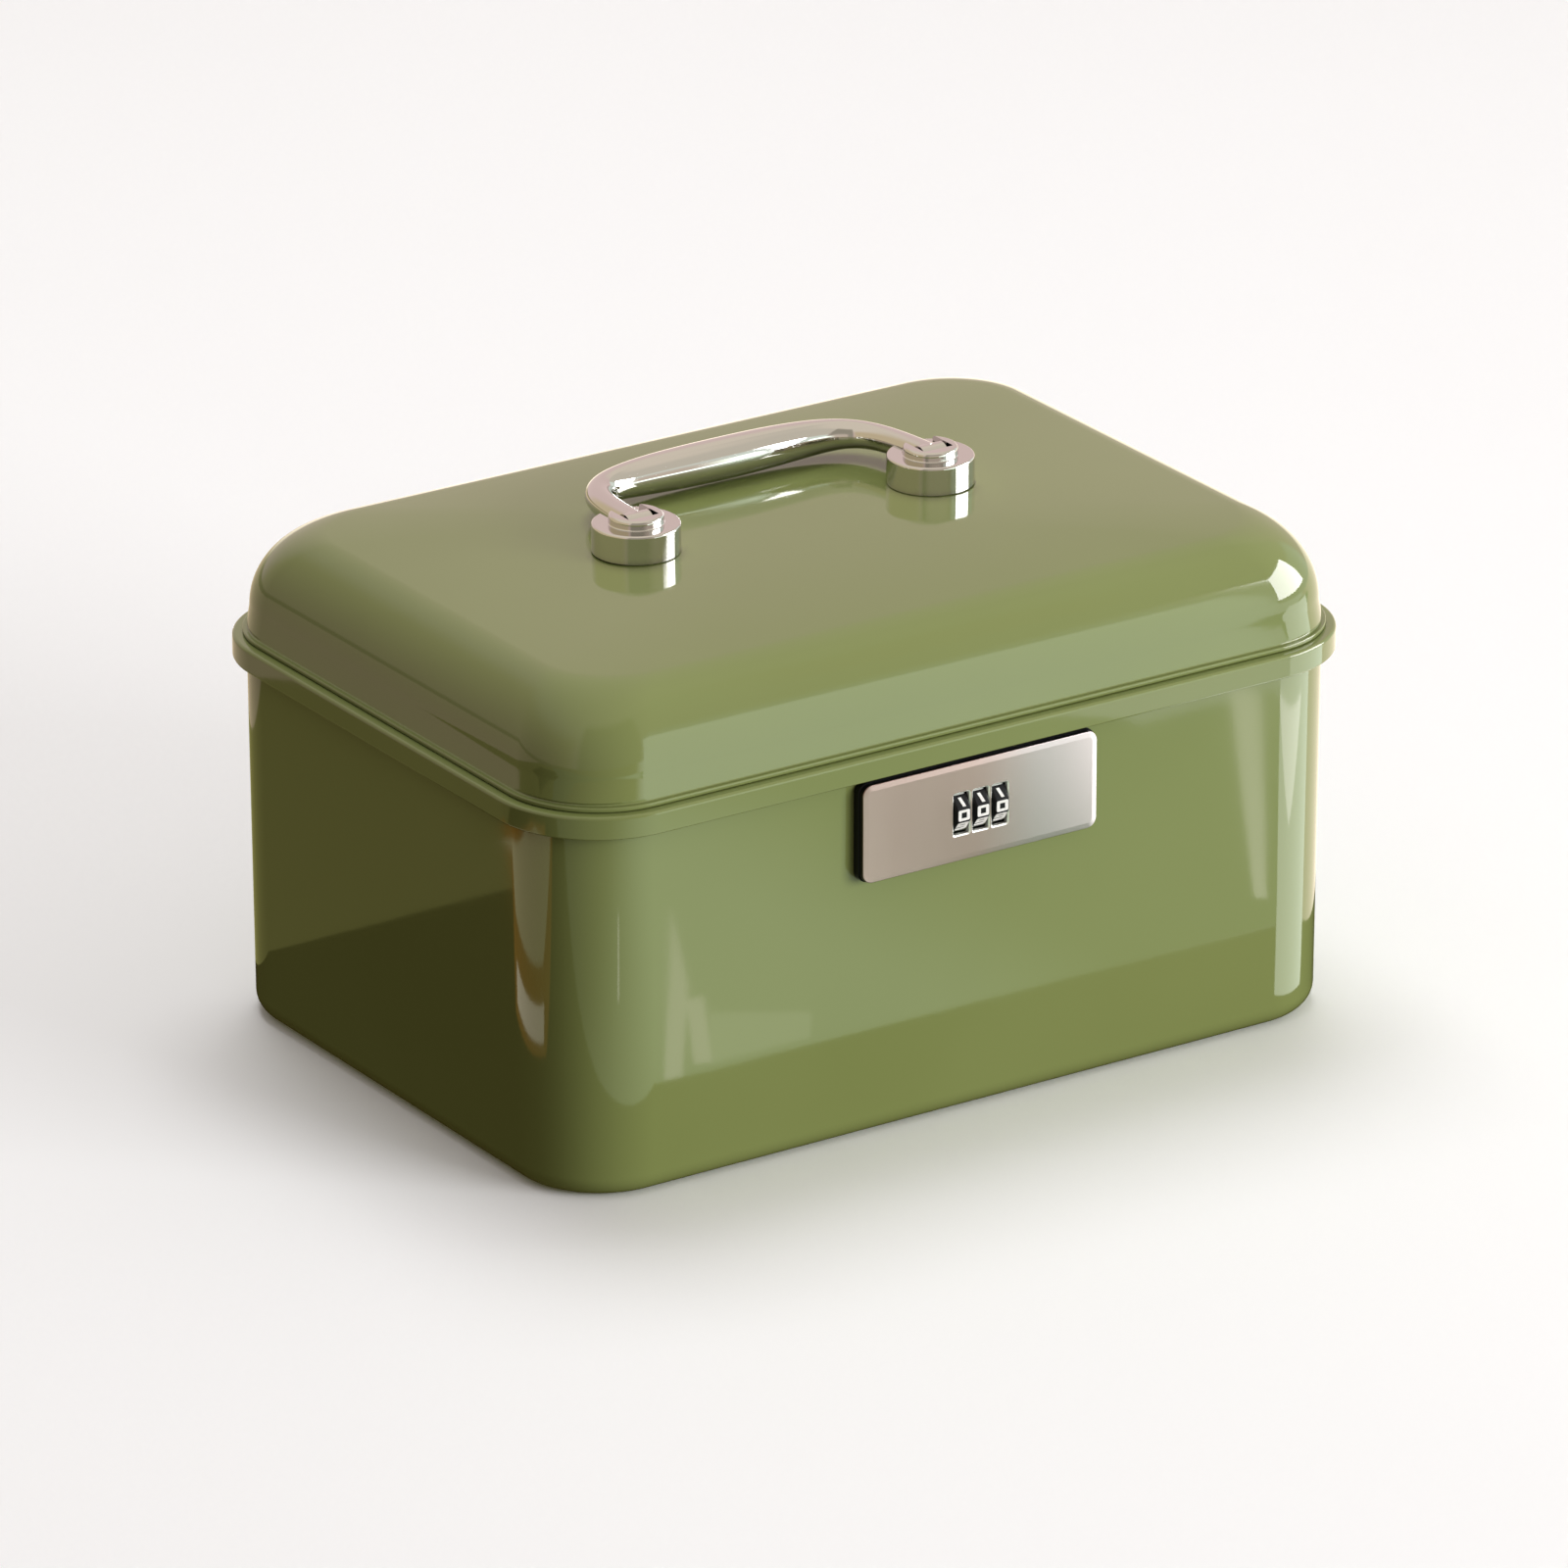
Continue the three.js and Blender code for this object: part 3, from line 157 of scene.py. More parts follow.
NUMBER_CUTS = {
    0: ["upper lower"],
    2: ["upper left", "lower right"],
    3: ["upper left", "lower left"],
    4: ["upper top", "lower left bottom"],
    5: ["upper right", "lower left"],
    6: ["upper right", "lower"],
    7: ["upper lower left bottom"],
    8: ["upper", "lower"],
    9: ["upper", "lower left"],
}

# Hinges and fasteners
KNUCKLE_RADIUS = 3.0 * MM
KNUCKLE_ROLL = math.radians(290)
LID_KNUCKLE = 12.0 * MM
KNUCKLE_GAP = 0.3 * MM
HINGE_PIN_RADIUS = 1.25 * MM
PIN_HEAD_HEIGHT = 0.8 * MM
LEAF_THICKNESS = 1.2 * MM
LEAF_BEND = 1.0 * MM
LEAF_BELOW_BAND = 1.6 * MM
LEAF_CORNER = 2.0 * MM
RIVET_RADIUS = 1.5 * MM
RIVET_HEAD_HEIGHT = 1.2 * MM
RIVET_DOME = 0.96 * MM
RIVET_TAIL_RADIUS = 2.4 * MM
RIVET_TAIL_HEIGHT = 0.8 * MM
SCREW_RADIUS = 1.2 * MM
SCREW_HEAD_HEIGHT = 1.6 * MM
SCREW_SLOT = 0.7 * MM
NUT_SIDES = 6
NUT_CHAMFER = 0.6 * MM
FINE_EDGE = 0.15 * MM
CASE_EDGE = 0.3 * MM

# Finishes
ENAMEL_COLOUR = (0.180, 0.215, 0.070)
ENAMEL_THIN = (0.190, 0.226, 0.076)
ENAMEL_IOR = 1.52
ENAMEL_WAVES = 0.06 * MM
ENAMEL_SKIN = 0.0022 * MM
CHROME_COLOUR = (0.60, 0.585, 0.57)
CHROME_MARKS = 0.004 * MM
PLATE_COLOUR = (0.33, 0.225, 0.22)
PLATE_PALE = (0.37, 0.265, 0.26)
# Painted highlight: the plate's colour turns paler and cooler towards its right end, between two x values
PLATE_HIGHLIGHT_COLOUR = (0.35, 0.30, 0.315)
PLATE_HIGHLIGHT_FROM = -5 * MM
PLATE_HIGHLIGHT_TO = 22 * MM
PLATE_GRAIN = 0.0035 * MM
PLATE_CROWN = 1.3
ZINC_COLOUR = (0.56, 0.565, 0.57)
ZINC_DULL = (0.44, 0.45, 0.46)
ZINC_GRAIN = 0.006 * MM
BLACK_COLOUR = (0.008, 0.008, 0.009)
BLACK_SHINE = 0.12
BLACK_GRAIN = 0.006 * MM
INK_COLOUR = (0.86, 0.86, 0.84)
INK_WORN = (0.72, 0.72, 0.70)
# Painted highlight on the windows' cut edges
WINDOW_HIGHLIGHT_COLOUR = (0.95, 0.95, 0.94)

# Studio
BOX_MIDDLE = 0.07
CARD_DISTANCE = 3.0
FLOOR_SIZE = 14
FLOOR_COLOUR = (0.90, 0.91, 0.93)
FLOOR_PALE = (0.92, 0.93, 0.95)
FLOOR_ROUGHNESS = 0.75

# Fineness
LOOSE = 1e-5
FACING = 0.99
SIDE_ON = 0.5
FLAT_ANGLE = math.radians(1)
CORNER_STEPS = 28
PLATE_STEPS = 20
EDGE_STEPS = 4
WINDOW_STEPS = 6
ROUND_STEPS = 8
ROLL_STEPS = 24
DOME_STEPS = 24
CROWN_STEPS = 16
ROD_SIDES = 48
CUP_SIDES = 128
ARM_SIDES = 48
ARM_STEPS = 34
SMOOTH_ANGLE = math.radians(32)
BORDER_ANGLE = math.radians(5)
THROUGH = 5.0 * MM
DOME_END = math.radians(80)

# Places taken from the frame
half_length, half_width, rim_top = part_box("body_shell")[1]
band_low = rim_top - BAND_HEIGHT
wall_front = -(half_width - BAND_STANDS)
bead_low = rim_top + LID_GAP
bead_high = bead_low + BEAD_HEIGHT
lid_wall_top = rim_top + LID_WALL_RISE

plate_low, plate_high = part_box("lock_plate")
backing_low, backing_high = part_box("lock_backing")
wheel_low, wheel_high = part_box("digit_wheel_2")
dial_centre = (wheel_low + wheel_high) / 2
wheel_radius = (wheel_high.z - wheel_low.z) / 2
wheel_flat = wheel_radius * math.cos(math.pi / DIGITS)
dial_y = wheel_low.y + wheel_flat
cup_low, cup_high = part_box("handle_base_right")
cup_x = (cup_low.x + cup_high.x) / 2
cup_radius = (cup_high.x - cup_low.x) / 2
cup_foot = cup_high.z - CUP_HEIGHT - BOSS_HEIGHT
pivot_z = cup_foot + PIVOT_HEIGHT
hinge_low, hinge_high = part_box("hinge_pin_right")
hinge_x, hinge_y, hinge_z = (hinge_low + hinge_high) / 2
leaf_low, leaf_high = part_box("hinge_body_leaf_right")
hinge_length = leaf_high.x - leaf_low.x


# Modelling helpers

def add(operator, name, stretch=(1, 1, 1), **settings):
    """A new primitive, alone in the selection, with its place and size in its mesh."""
    bpy.ops.object.select_all(action="DESELECT")
    operator(**settings)
    piece = bpy.context.object
    piece.scale = stretch
    piece.name = name
    piece.data.name = name
    bpy.ops.object.transform_apply(location=True, rotation=True, scale=True)
    return piece


def choose(*pieces):
    """Selects these objects alone, the first of them active."""
    bpy.ops.object.select_all(action="DESELECT")
    for piece in pieces:
        piece.select_set(True)
    bpy.context.view_layer.objects.active = pieces[0]


class Editing:
    """Edit mode on one piece, with faces, edges or vertices to be selected."""

    def __init__(self, piece, kind="FACE"):
        self.piece = piece
        self.kind = kind

    def __enter__(self):
        choose(self.piece)
        bpy.ops.object.mode_set(mode="EDIT")
        bpy.ops.mesh.select_mode(type=self.kind)
        bpy.ops.mesh.select_all(action="SELECT")
        return self

    def __exit__(self, *_):
        bpy.ops.object.mode_set(mode="OBJECT")

    def pick(self, test):
        """Selects what passes the test, and nothing else."""
        bpy.ops.mesh.select_all(action="DESELECT")
        mesh = bmesh.from_edit_mesh(self.piece.data)
        mesh.normal_update()
        items = {"VERT": mesh.verts, "EDGE": mesh.edges, "FACE": mesh.faces}[self.kind]
        for item in items:
            if test(item):
                item.select_set(True)
        mesh.select_flush_mode()
        bmesh.update_edit_mesh(self.piece.data)

    def face_out(self):
        bpy.ops.mesh.select_all(action="SELECT")
        bpy.ops.mesh.normals_make_consistent(inside=False)

    def paint(self, finish):
        """Gives the selected faces a finish of their own."""
        self.piece.data.materials.append(finish)
        self.piece.active_material_index = len(self.piece.data.materials) - 1
        bpy.ops.object.material_slot_assign()


def facing(normal, place):
    """A test for the faces that look along a direction and lie at a distance along it."""
    normal = Vector(normal)

    def test(face):
        off = face.calc_center_median().dot(normal) - place
        return face.normal.dot(normal) > FACING and abs(off) < LOOSE

    return test


def arc(start_in, start_z, reach_in, reach_z, last=math.pi / 2, steps=ROUND_STEPS):
    """Points (distance in, height) of a round that starts upright and turns inwards."""
    turns = [last * i / steps for i in range(1, steps + 1)]
    return [(start_in + reach_in * (1 - math.cos(turn)), start_z + reach_z * math.sin(turn))
            for turn in turns]


def cove(start_in, start_z, reach_in, reach_z):
    """Points of a round that starts level and turns upright."""
    turns = [math.pi / 2 * i / ROUND_STEPS for i in range(1, ROUND_STEPS + 1)]
    return [(start_in + reach_in * math.sin(turn), start_z + reach_z * (1 - math.cos(turn)))
            for turn in turns]


def follow(profile, start, way=1):
    """Draws the selected cap along a profile of (distance in, height) points, up or down."""
    was_in, was_z = start
    for now_in, now_z in profile:
        bpy.ops.mesh.inset(thickness=now_in - was_in, depth=way * (now_z - was_z), use_even_offset=True)
        was_in, was_z = now_in, now_z


def raise_cap(rise):
    """Extrudes the selected faces along their own normal."""
    bpy.ops.mesh.extrude_region_shrink_fatten(TRANSFORM_OT_shrink_fatten={"value": rise})


def extrude_edges(shift):
    """Draws a strip of new faces from the selected edges."""
    bpy.ops.mesh.extrude_edges_move(TRANSFORM_OT_translate={"value": shift})


def rounded_face(name, centre, half_size, corner, upright=False, steps=CORNER_STEPS):
    """A flat face with rounded corners that looks up, or to the front if it is upright."""
    turn = (math.pi / 2, 0, 0) if upright else (0, 0, 0)
    scale = (half_size[0], 1, half_size[1]) if upright else (half_size[0], half_size[1], 1)
    piece = add(bpy.ops.mesh.primitive_plane_add, name, size=2, location=centre, rotation=turn)
    with Editing(piece, "VERT"):
        bpy.ops.transform.resize(value=scale, center_override=centre)
        bpy.ops.mesh.bevel(offset=corner, segments=steps, affect="VERTICES")
    return piece


def slab(name, centre, half_size, corner, thickness, upright=False, steps=CORNER_STEPS):
    """A rounded face given a thickness, up or to the front."""
    piece = rounded_face(name, centre, half_size, corner, upright, steps)
    with Editing(piece) as edit:
        raise_cap(thickness)
        edit.face_out()
    return piece


def block(name, low, high):
    low, high = Vector(low), Vector(high)
    return add(bpy.ops.mesh.primitive_cube_add, name, high - low, size=1, location=(low + high) / 2)


def rod(name, centre, radius, length, axis="z", sides=ROD_SIDES):
    turn = {"x": (0, math.pi / 2, 0), "y": (math.pi / 2, 0, 0), "z": (0, 0, 0)}[axis]
    settings = {"vertices": sides, "radius": radius, "depth": length, "location": centre, "rotation": turn}
    return add(bpy.ops.mesh.primitive_cylinder_add, name, **settings)


def domed_rod(name, foot, towards, radius, length, rise):
    """A round bar from a place along one axis, with a domed end; the length takes in the dome."""
    foot, towards = Vector(foot), Vector(towards)
    axis = "xyz"[max(range(3), key=lambda k: abs(towards[k]))]
    wall = length - rise
    piece = rod(name, foot + towards * wall / 2, radius, wall, axis)
    with Editing(piece) as edit:
        edit.pick(facing(towards, (foot + towards * wall).dot(towards)))
        follow(arc(0, 0, radius, rise, DOME_END), (0, 0))
    return piece


def apply_modifier(piece, kind, **settings):
    choose(piece)
    modifier = piece.modifiers.new(kind.lower(), kind)
    for name, value in settings.items():
        setattr(modifier, name, value)
    bpy.ops.object.modifier_apply(modifier=modifier.name)


def carve(piece, *cutters, operation="DIFFERENCE"):
    """Cuts other shapes from a piece, or joins them to it. They are used up."""
    for cutter in cutters:
        apply_modifier(piece, "BOOLEAN", object=cutter, operation=operation, solver="EXACT")
        bpy.data.objects.remove(cutter)
    return piece


def weld(piece, *others):
    return carve(piece, *others, operation="UNION")


def drill(piece, places, radius, axis="y"):
    """Drills a hole at each place for a round piece that passes through with clearance."""
    holes = [rod("hole", place, radius + RUNNING_GAP, 2 * THROUGH, axis) for place in places]
    return carve(piece, *holes)


def join(pieces, name):
    choose(*pieces)
    bpy.ops.object.join()
    piece = bpy.context.object
    piece.name = name
    piece.data.name = name
    return piece


def soften(piece, width, segments=2):
    """Breaks the sharp edges."""
    apply_modifier(piece, "BEVEL", width=width, segments=segments, limit_method="ANGLE",
                   angle_limit=SMOOTH_ANGLE)


def copy_at(piece, name, shift, mirrored=False):
    """A copy with its own mesh, moved to another place, or mirrored across the box's middle."""
    twin = piece.copy()
    twin.data = piece.data.copy()
    bpy.context.collection.objects.link(twin)
    twin.name = name
    twin.data.name = name
    if mirrored:
        twin.data.transform(Matrix.Scale(-1, 4, (1, 0, 0)))
        twin.data.flip_normals()
    twin.data.transform(Matrix.Translation(shift))
    return twin


def finish_piece(piece, body, slot, *nodes, smooth=SMOOTH_ANGLE):
    """Shades a piece, puts it on its body with its finish, and hides the nodes it stands for."""
    choose(piece)
    bpy.ops.object.shade_smooth_by_angle(angle=smooth)
    apply_modifier(piece, "WEIGHTED_NORMAL", keep_sharp=True)
    if not piece.data.materials:
        piece.data.materials.append(finishes[slot])
    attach(piece, body)
    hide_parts(*nodes)
    return piece


# Places and lists of nodes

def middle_of(node):
    low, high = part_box(node)
    return (low + high) / 2


def numbered(stem, count=4):
    return [f"{stem}_{i}" for i in range(1, count + 1)]


def in_wall(stem, wall_y):
    """Where four numbered fasteners pass through a wall."""
    middles = [middle_of(node) for node in numbered(stem)]
    return [(middle.x, wall_y, middle.z) for middle in middles]


def body_of(node):
    bodies = frame["record"]["behaviour"]["bodies"]
    return next(body for body, nodes in bodies.items() if node in nodes)


def slot_of(node):
    return next(part["material_slot"] for part in frame["record"]["subparts"] if part["node"] == node)


# Body

def wall_lean(z):
    """How far the wall leans in at a height."""
    return BODY_TAPER * (1 - z / rim_top)


def body_outside():
    """A drawn box whose rim is rolled outwards into a band that is open below."""
    lip = SHEET / 2
    start_z = band_low + lip
    edge_z = rim_top - BAND_EDGE
    piece = slab("enamelled_body", (0, 0, start_z), (half_length, half_width), RIM_CORNER, edge_z - start_z)
    mouth = BAND_STANDS + SHEET
    inner_turn = mouth + wall_lean(BASE_ROUND)
    rim = arc(0, edge_z, BAND_EDGE, BAND_EDGE)
    rim += [(mouth - MOUTH_ROUND, rim_top)]
    rim += cove(mouth - MOUTH_ROUND, rim_top, MOUTH_ROUND, -MOUTH_ROUND)
    rim += [(inner_turn, BASE_ROUND)]
    rim += arc(inner_turn, BASE_ROUND, BASE_ROUND - SHEET, SHEET - BASE_ROUND)
    outer_turn = BAND_STANDS + wall_lean(BASE_ROUND)
    under = rim_top - SHEET
    foot = arc(0, start_z, lip, -lip, math.pi)
    foot += [(SHEET, under), (BAND_STANDS, under)]
    foot += [(BAND_STANDS + wall_lean(band_low), band_low), (outer_turn, BASE_ROUND)]
    foot += arc(outer_turn, BASE_ROUND, BASE_ROUND, -BASE_ROUND)
    with Editing(piece) as edit:
        edit.pick(facing((0, 0, 1), edge_z))
        follow(rim, (0, edge_z))
        edit.pick(facing((0, 0, -1), -start_z))
        follow(foot, (0, start_z), -1)
        edit.face_out()
    return piece


def lock_opening():
    """A cutting shape for the opening in the wall and the backing that the wheels stand in."""
    half_high = wheel_radius + OPENING_CLEARANCE
    low = (-OPENING_LENGTH / 2, wall_front - THROUGH, dial_centre.z - half_high)
    high = (OPENING_LENGTH / 2, wall_front + THROUGH, dial_centre.z + half_high)
    return block("lock_opening", low, high)


def body_shell():
    piece = carve(body_outside(), lock_opening())
    drill(piece, in_wall("body_rivet", -wall_front), RIVET_RADIUS)
    drill(piece, in_wall("lock_screw", wall_front), SPIGOT_RADIUS)
    return finish_piece(piece, "body", "green_enamel", "body_shell")


# Lid

def dome_rings(depth):
    """Half length, half width and height of the rings of the lid's wall, shoulder and crown."""
    wall_in = LID_SET_IN + LID_DRAFT + depth
    rings = [(half_length - wall_in, half_width - wall_in, lid_wall_top)]
    for i in range(1, DOME_STEPS + 1):
        turn = DOME_ROUND_ENDS * i / DOME_STEPS
        set_in = wall_in + (DOME_ROUND_OUT - depth) * (1 - math.cos(turn))
        z = lid_wall_top + (DOME_ROUND_UP - depth) * math.sin(turn)
        rings.append((half_length - set_in, half_width - set_in, z))
    edge_length, edge_width, edge_z = rings[-1]
    crown_z = edge_z + CROWN
    for i in range(1, CROWN_STEPS):
        share = 1 - i / CROWN_STEPS
        rings.append((edge_length * share, edge_width * share, crown_z - CROWN * share ** CROWN_POWER))
    return rings, crown_z


def dome(name, set_in, foot_z, depth):
    """A sheet drawn up ring by ring from the lid's foot and closed at the crown's middle."""
    length, width, z = half_length - set_in, half_width - set_in, foot_z
    piece = rounded_face(name, (0, 0, z), (length, width), LID_CORNER - depth)
    rings, crown_z = dome_rings(depth)
    with Editing(piece, "EDGE"):
        bpy.ops.mesh.delete(type="ONLY_FACE")
        bpy.ops.mesh.select_all(action="SELECT")
        for ring_length, ring_width, ring_z in rings:
            extrude_edges((0, 0, ring_z - z))
            scale = (ring_length / length, ring_width / width, 1)
            bpy.ops.transform.resize(value=scale, center_override=(0, 0, ring_z))
            length, width, z = ring_length, ring_width, ring_z
        extrude_edges((0, 0, crown_z - z))
        bpy.ops.mesh.merge(type="CENTER")
    return piece


def bead_and_skirt():
    """The lid's foot: a thin bead that rests above the rim, and the skirt that drops inside it."""
    middle = (bead_low + bead_high) / 2
    flat_low, flat_high = middle - BEAD_FLAT / 2, middle + BEAD_FLAT / 2
    half_size = (half_length - BEAD_SET_IN, half_width - BEAD_SET_IN)
    piece = slab("bead", (0, 0, flat_low), half_size, RIM_CORNER - BEAD_SET_IN, BEAD_FLAT)
    top = arc(BEAD_SET_IN, flat_high, BEAD_SWELL, bead_high - flat_high)
    top += [(LID_SET_IN - BEAD_FILLET, bead_high)]
    top += cove(LID_SET_IN - BEAD_FILLET, bead_high, BEAD_FILLET, BEAD_FILLET)
    skirt_low = bead_low - SKIRT_DEPTH + SHEET / 2
    under = arc(BEAD_SET_IN, flat_low, BEAD_SWELL, bead_low - flat_low)
    under += [(SKIRT_SET_IN, bead_low), (SKIRT_SET_IN, skirt_low)]
    under += arc(SKIRT_SET_IN, skirt_low, SHEET / 2, -SHEET / 2, math.pi)
    under += [(SKIRT_SET_IN + SHEET, bead_high)]
    with Editing(piece) as edit:
        edit.pick(facing((0, 0, 1), flat_high))
        follow(top, (BEAD_SET_IN, flat_high))
        bpy.ops.mesh.delete(type="ONLY_FACE")
        edit.pick(facing((0, 0, -1), -flat_low))
        follow(under, (BEAD_SET_IN, flat_low), -1)
        bpy.ops.mesh.delete(type="ONLY_FACE")
    return piece


def open_edges(*heights):
    """A test for the open edges at these heights."""

    def test(edge):
        z = (edge.verts[0].co.z + edge.verts[1].co.z) / 2
        return edge.is_boundary and any(abs(z - height) < LOOSE for height in heights)

    return test


def lid_shell():
    """The bead and the skirt, bridged to the dome's outer and inner skin."""
    outer_z = bead_high + 2 * BEAD_FILLET
    outer_in = LID_SET_IN + LID_DRAFT * (outer_z - bead_high) / (lid_wall_top - bead_high)
    inner_z = bead_high + BEAD_FILLET / 2
    outer = dome("lid_outer", outer_in, outer_z, 0)
    inner = dome("lid_inner", SKIRT_SET_IN + SHEET, inner_z, SHEET)
    piece = join([bead_and_skirt(), outer, inner], "enamelled_lid")
    with Editing(piece, "EDGE") as edit:
        edit.pick(open_edges(bead_high + BEAD_FILLET, outer_z))
        bpy.ops.mesh.bridge_edge_loops()
        edit.pick(open_edges(bead_high, inner_z))
        bpy.ops.mesh.bridge_edge_loops()
        edit.face_out()
    drill(piece, [middle_of(node) for node in numbered("lid_rivet")], RIVET_RADIUS)
    drill(piece, [(-cup_x, 0, cup_foot), (cup_x, 0, cup_foot)], STUD_RADIUS, "z")
    return finish_piece(piece, "lid", "green_enamel", "lid_shell")


# Handle

def handle_line():
    """Points along the handle from one pivot to the other, and how near each is to the grip, 0 to 1."""
    grip_z = pivot_z - HANDLE_DROP
    pivot = Vector((cup_x, 0, pivot_z))
    arm_pull = Vector((cup_x - ARM_LEAN, ARM_PULL, grip_z))
    grip_pull = Vector((cup_x - SHOULDER, HANDLE_REACH, grip_z))
    grip_middle = Vector((0, HANDLE_REACH, grip_z))
    right = interpolate_bezier(pivot, arm_pull, grip_pull, grip_middle, ARM_STEPS + 1)
    left = [Vector((-point.x, point.y, point.z)) for point in right]
    shares = [i / ARM_STEPS for i in range(ARM_STEPS + 1)]
    return left + right[-2::-1], shares + shares[-2::-1]


def carry_handle():
    """A bar that swells from its flat arms to its round grip, with an eye round each pin."""
    line, shares = handle_line()
    hoops = []
    for i, (place, share) in enumerate(zip(line, shares)):
        before, after = line[max(i - 1, 0)], line[min(i + 1, len(line) - 1)]
        along = (after - before).normalized()
        swell = math.sin(share * math.pi / 2) ** GRIP_SWELL_POWER
        half_wide = ARM_HALF_WIDTH + (GRIP_RADIUS - ARM_HALF_WIDTH) * swell
        half_thick = ARM_HALF_THICKNESS + (GRIP_RADIUS - ARM_HALF_THICKNESS) * swell
        turn = (math.pi / 2, 0, math.atan2(along.y, along.x) + math.pi / 2)
        hoop = add(bpy.ops.mesh.primitive_circle_add, "hoop", (half_wide, half_thick, 1), vertices=ARM_SIDES,
                   radius=1, location=place, rotation=turn)
        hoops.append(hoop)
    piece = join(hoops, "swing_handle")
    with Editing(piece, "EDGE") as edit:
        bpy.ops.mesh.bridge_edge_loops()
        edit.pick(lambda edge: edge.is_boundary)
        bpy.ops.mesh.edge_face_add()
        edit.face_out()
    for x in (-cup_x, cup_x):
        weld(piece, rod("eye", (x, 0, pivot_z), EYE_RADIUS, 2 * ARM_HALF_WIDTH, "x"))
        drill(piece, [(x, 0, pivot_z)], HANDLE_PIN_RADIUS, "x")
    return finish_piece(piece, "handle", "chrome", "carry_handle")


def handle_cup():
    """A cup with a raised boss above and a stud below, slotted to the back for the handle's arm."""
    cup_top = cup_foot + CUP_HEIGHT
    wall_top = cup_top - CUP_BEVEL
    wall_middle = (cup_x, 0, (cup_foot + wall_top) / 2)
    piece = rod("cup_right", wall_middle, cup_radius, wall_top - cup_foot, sides=CUP_SIDES)
    boss_in = cup_radius - BOSS_RADIUS
    boss_top = cup_high.z
    top = arc(0, wall_top, CUP_BEVEL, CUP_BEVEL)
    top += [(boss_in - BOSS_FOOT, cup_top)]
    top += cove(boss_in - BOSS_FOOT, cup_top, BOSS_FOOT, BOSS_FOOT)
    top += [(boss_in, boss_top - BOSS_ROUND)]
    top += arc(boss_in, boss_top - BOSS_ROUND, BOSS_ROUND, BOSS_ROUND)
    stud_in = cup_radius - STUD_RADIUS
    stud_low = cup_low.z
    under = [(stud_in, cup_foot), (stud_in, stud_low + STUD_CHAMFER), (stud_in + STUD_CHAMFER, stud_low)]
    with Editing(piece) as edit:
        edit.pick(facing((0, 0, 1), wall_top))
        follow(top, (0, wall_top))
        edit.pick(facing((0, 0, -1), -cup_foot))
        follow(under, (0, cup_foot), -1)
    slot_half = ARM_HALF_WIDTH + ARM_SIDE_CLEARANCE
    slot_round = EYE_RADIUS + ARM_CLEARANCE
    above = (cup_x + slot_half, 2 * cup_radius, boss_top + THROUGH)
    slot = rod("slot", (cup_x, 0, pivot_z), slot_round, 2 * slot_half, "x")
    weld(slot, block("slot_top", (cup_x - slot_half, -slot_round, pivot_z), above))
    weld(slot, block("slot_back", (cup_x - slot_half, 0, pivot_z - slot_round), above))
    return carve(piece, slot)


def handle_cups():
    right = handle_cup()
    left = copy_at(right, "cup_left", (0, 0, 0), mirrored=True)
    finish_piece(right, "lid", "chrome", "handle_base_right")
    finish_piece(left, "lid", "chrome", "handle_base_left")


# Number lock

def dial_xs():
    return [DIAL_PITCH * (i - (DIALS - 1) / 2) for i in range(DIALS)]


def plate_window(x):
    """A cutting shape for one window, wider at the front for its bevelled edge."""
    half = (WINDOW_WIDTH / 2 + WINDOW_CHAMFER, WINDOW_HEIGHT / 2 + WINDOW_CHAMFER)
    corner = WINDOW_CORNER + WINDOW_CHAMFER
    place = (x, plate_low.y, dial_centre.z)
    piece = slab("window", place, half, corner, THROUGH, upright=True, steps=WINDOW_STEPS)
    with Editing(piece) as edit:
        edit.pick(facing((0, 1, 0), plate_low.y))
        follow([(WINDOW_CHAMFER, WINDOW_CHAMFER), (WINDOW_CHAMFER, THROUGH)], (0, 0))
    return piece


def plate_outline():
    """Middle height and half size of the plate's backing, whose top stands clear below the band."""
    top = band_low - PLATE_BELOW_BAND
    return (plate_low.z + top) / 2, ((plate_high.x - plate_low.x) / 2, (top - plate_low.z) / 2)


def beside_wheel(face):
    """Whether a face belongs to the edge of a dial window."""
    middle = face.calc_center_median()
    across = min(abs(middle.x - x) for x in dial_xs())
    reach = WINDOW_HEIGHT / 2 + WINDOW_CHAMFER
    near = across < DIAL_PITCH / 2 and abs(middle.z - dial_centre.z) < reach
    return near and face.normal.y > -FACING


def lock_plate():
    """A satin plate with a gently falling border, its side faces black as painted shade, and its window
    edges near white as a painted highlight.
    """
    middle_z, (half_long, half_high) = plate_outline()
    half = (half_long - PLATE_SET_IN, half_high - PLATE_SET_IN)
    place = (0, plate_high.y, middle_z)
    front = plate_low.y + PLATE_FALL + PLATE_EDGE
    thickness = plate_high.y - front
    piece = slab("front_plate", place, half, PLATE_CORNER, thickness, upright=True, steps=PLATE_STEPS)
    piece.data.materials.append(finishes["brushed_plate"])
    border = arc(0, 0, PLATE_EDGE, PLATE_EDGE, steps=EDGE_STEPS)
    border += [(PLATE_BORDER, PLATE_EDGE + PLATE_FALL)]
    with Editing(piece) as edit:
        # Painted shade: the plate's side faces take the black finish, standing for the dark gap under the
        # band
        edit.pick(lambda face: abs(face.normal.y) < SIDE_ON)
        edit.paint(finishes["black_plastic"])
        edit.pick(facing((0, -1, 0), -front))
        follow(border, (0, 0))
    carve(piece, *[plate_window(x) for x in dial_xs()])
    with Editing(piece) as edit:
        # Painted highlight: the windows' edges get a near-white metal
        edit.pick(beside_wheel)
        edit.paint(window_highlight_finish)
    return finish_piece(piece, "body", "brushed_plate", "lock_plate", smooth=BORDER_ANGLE)


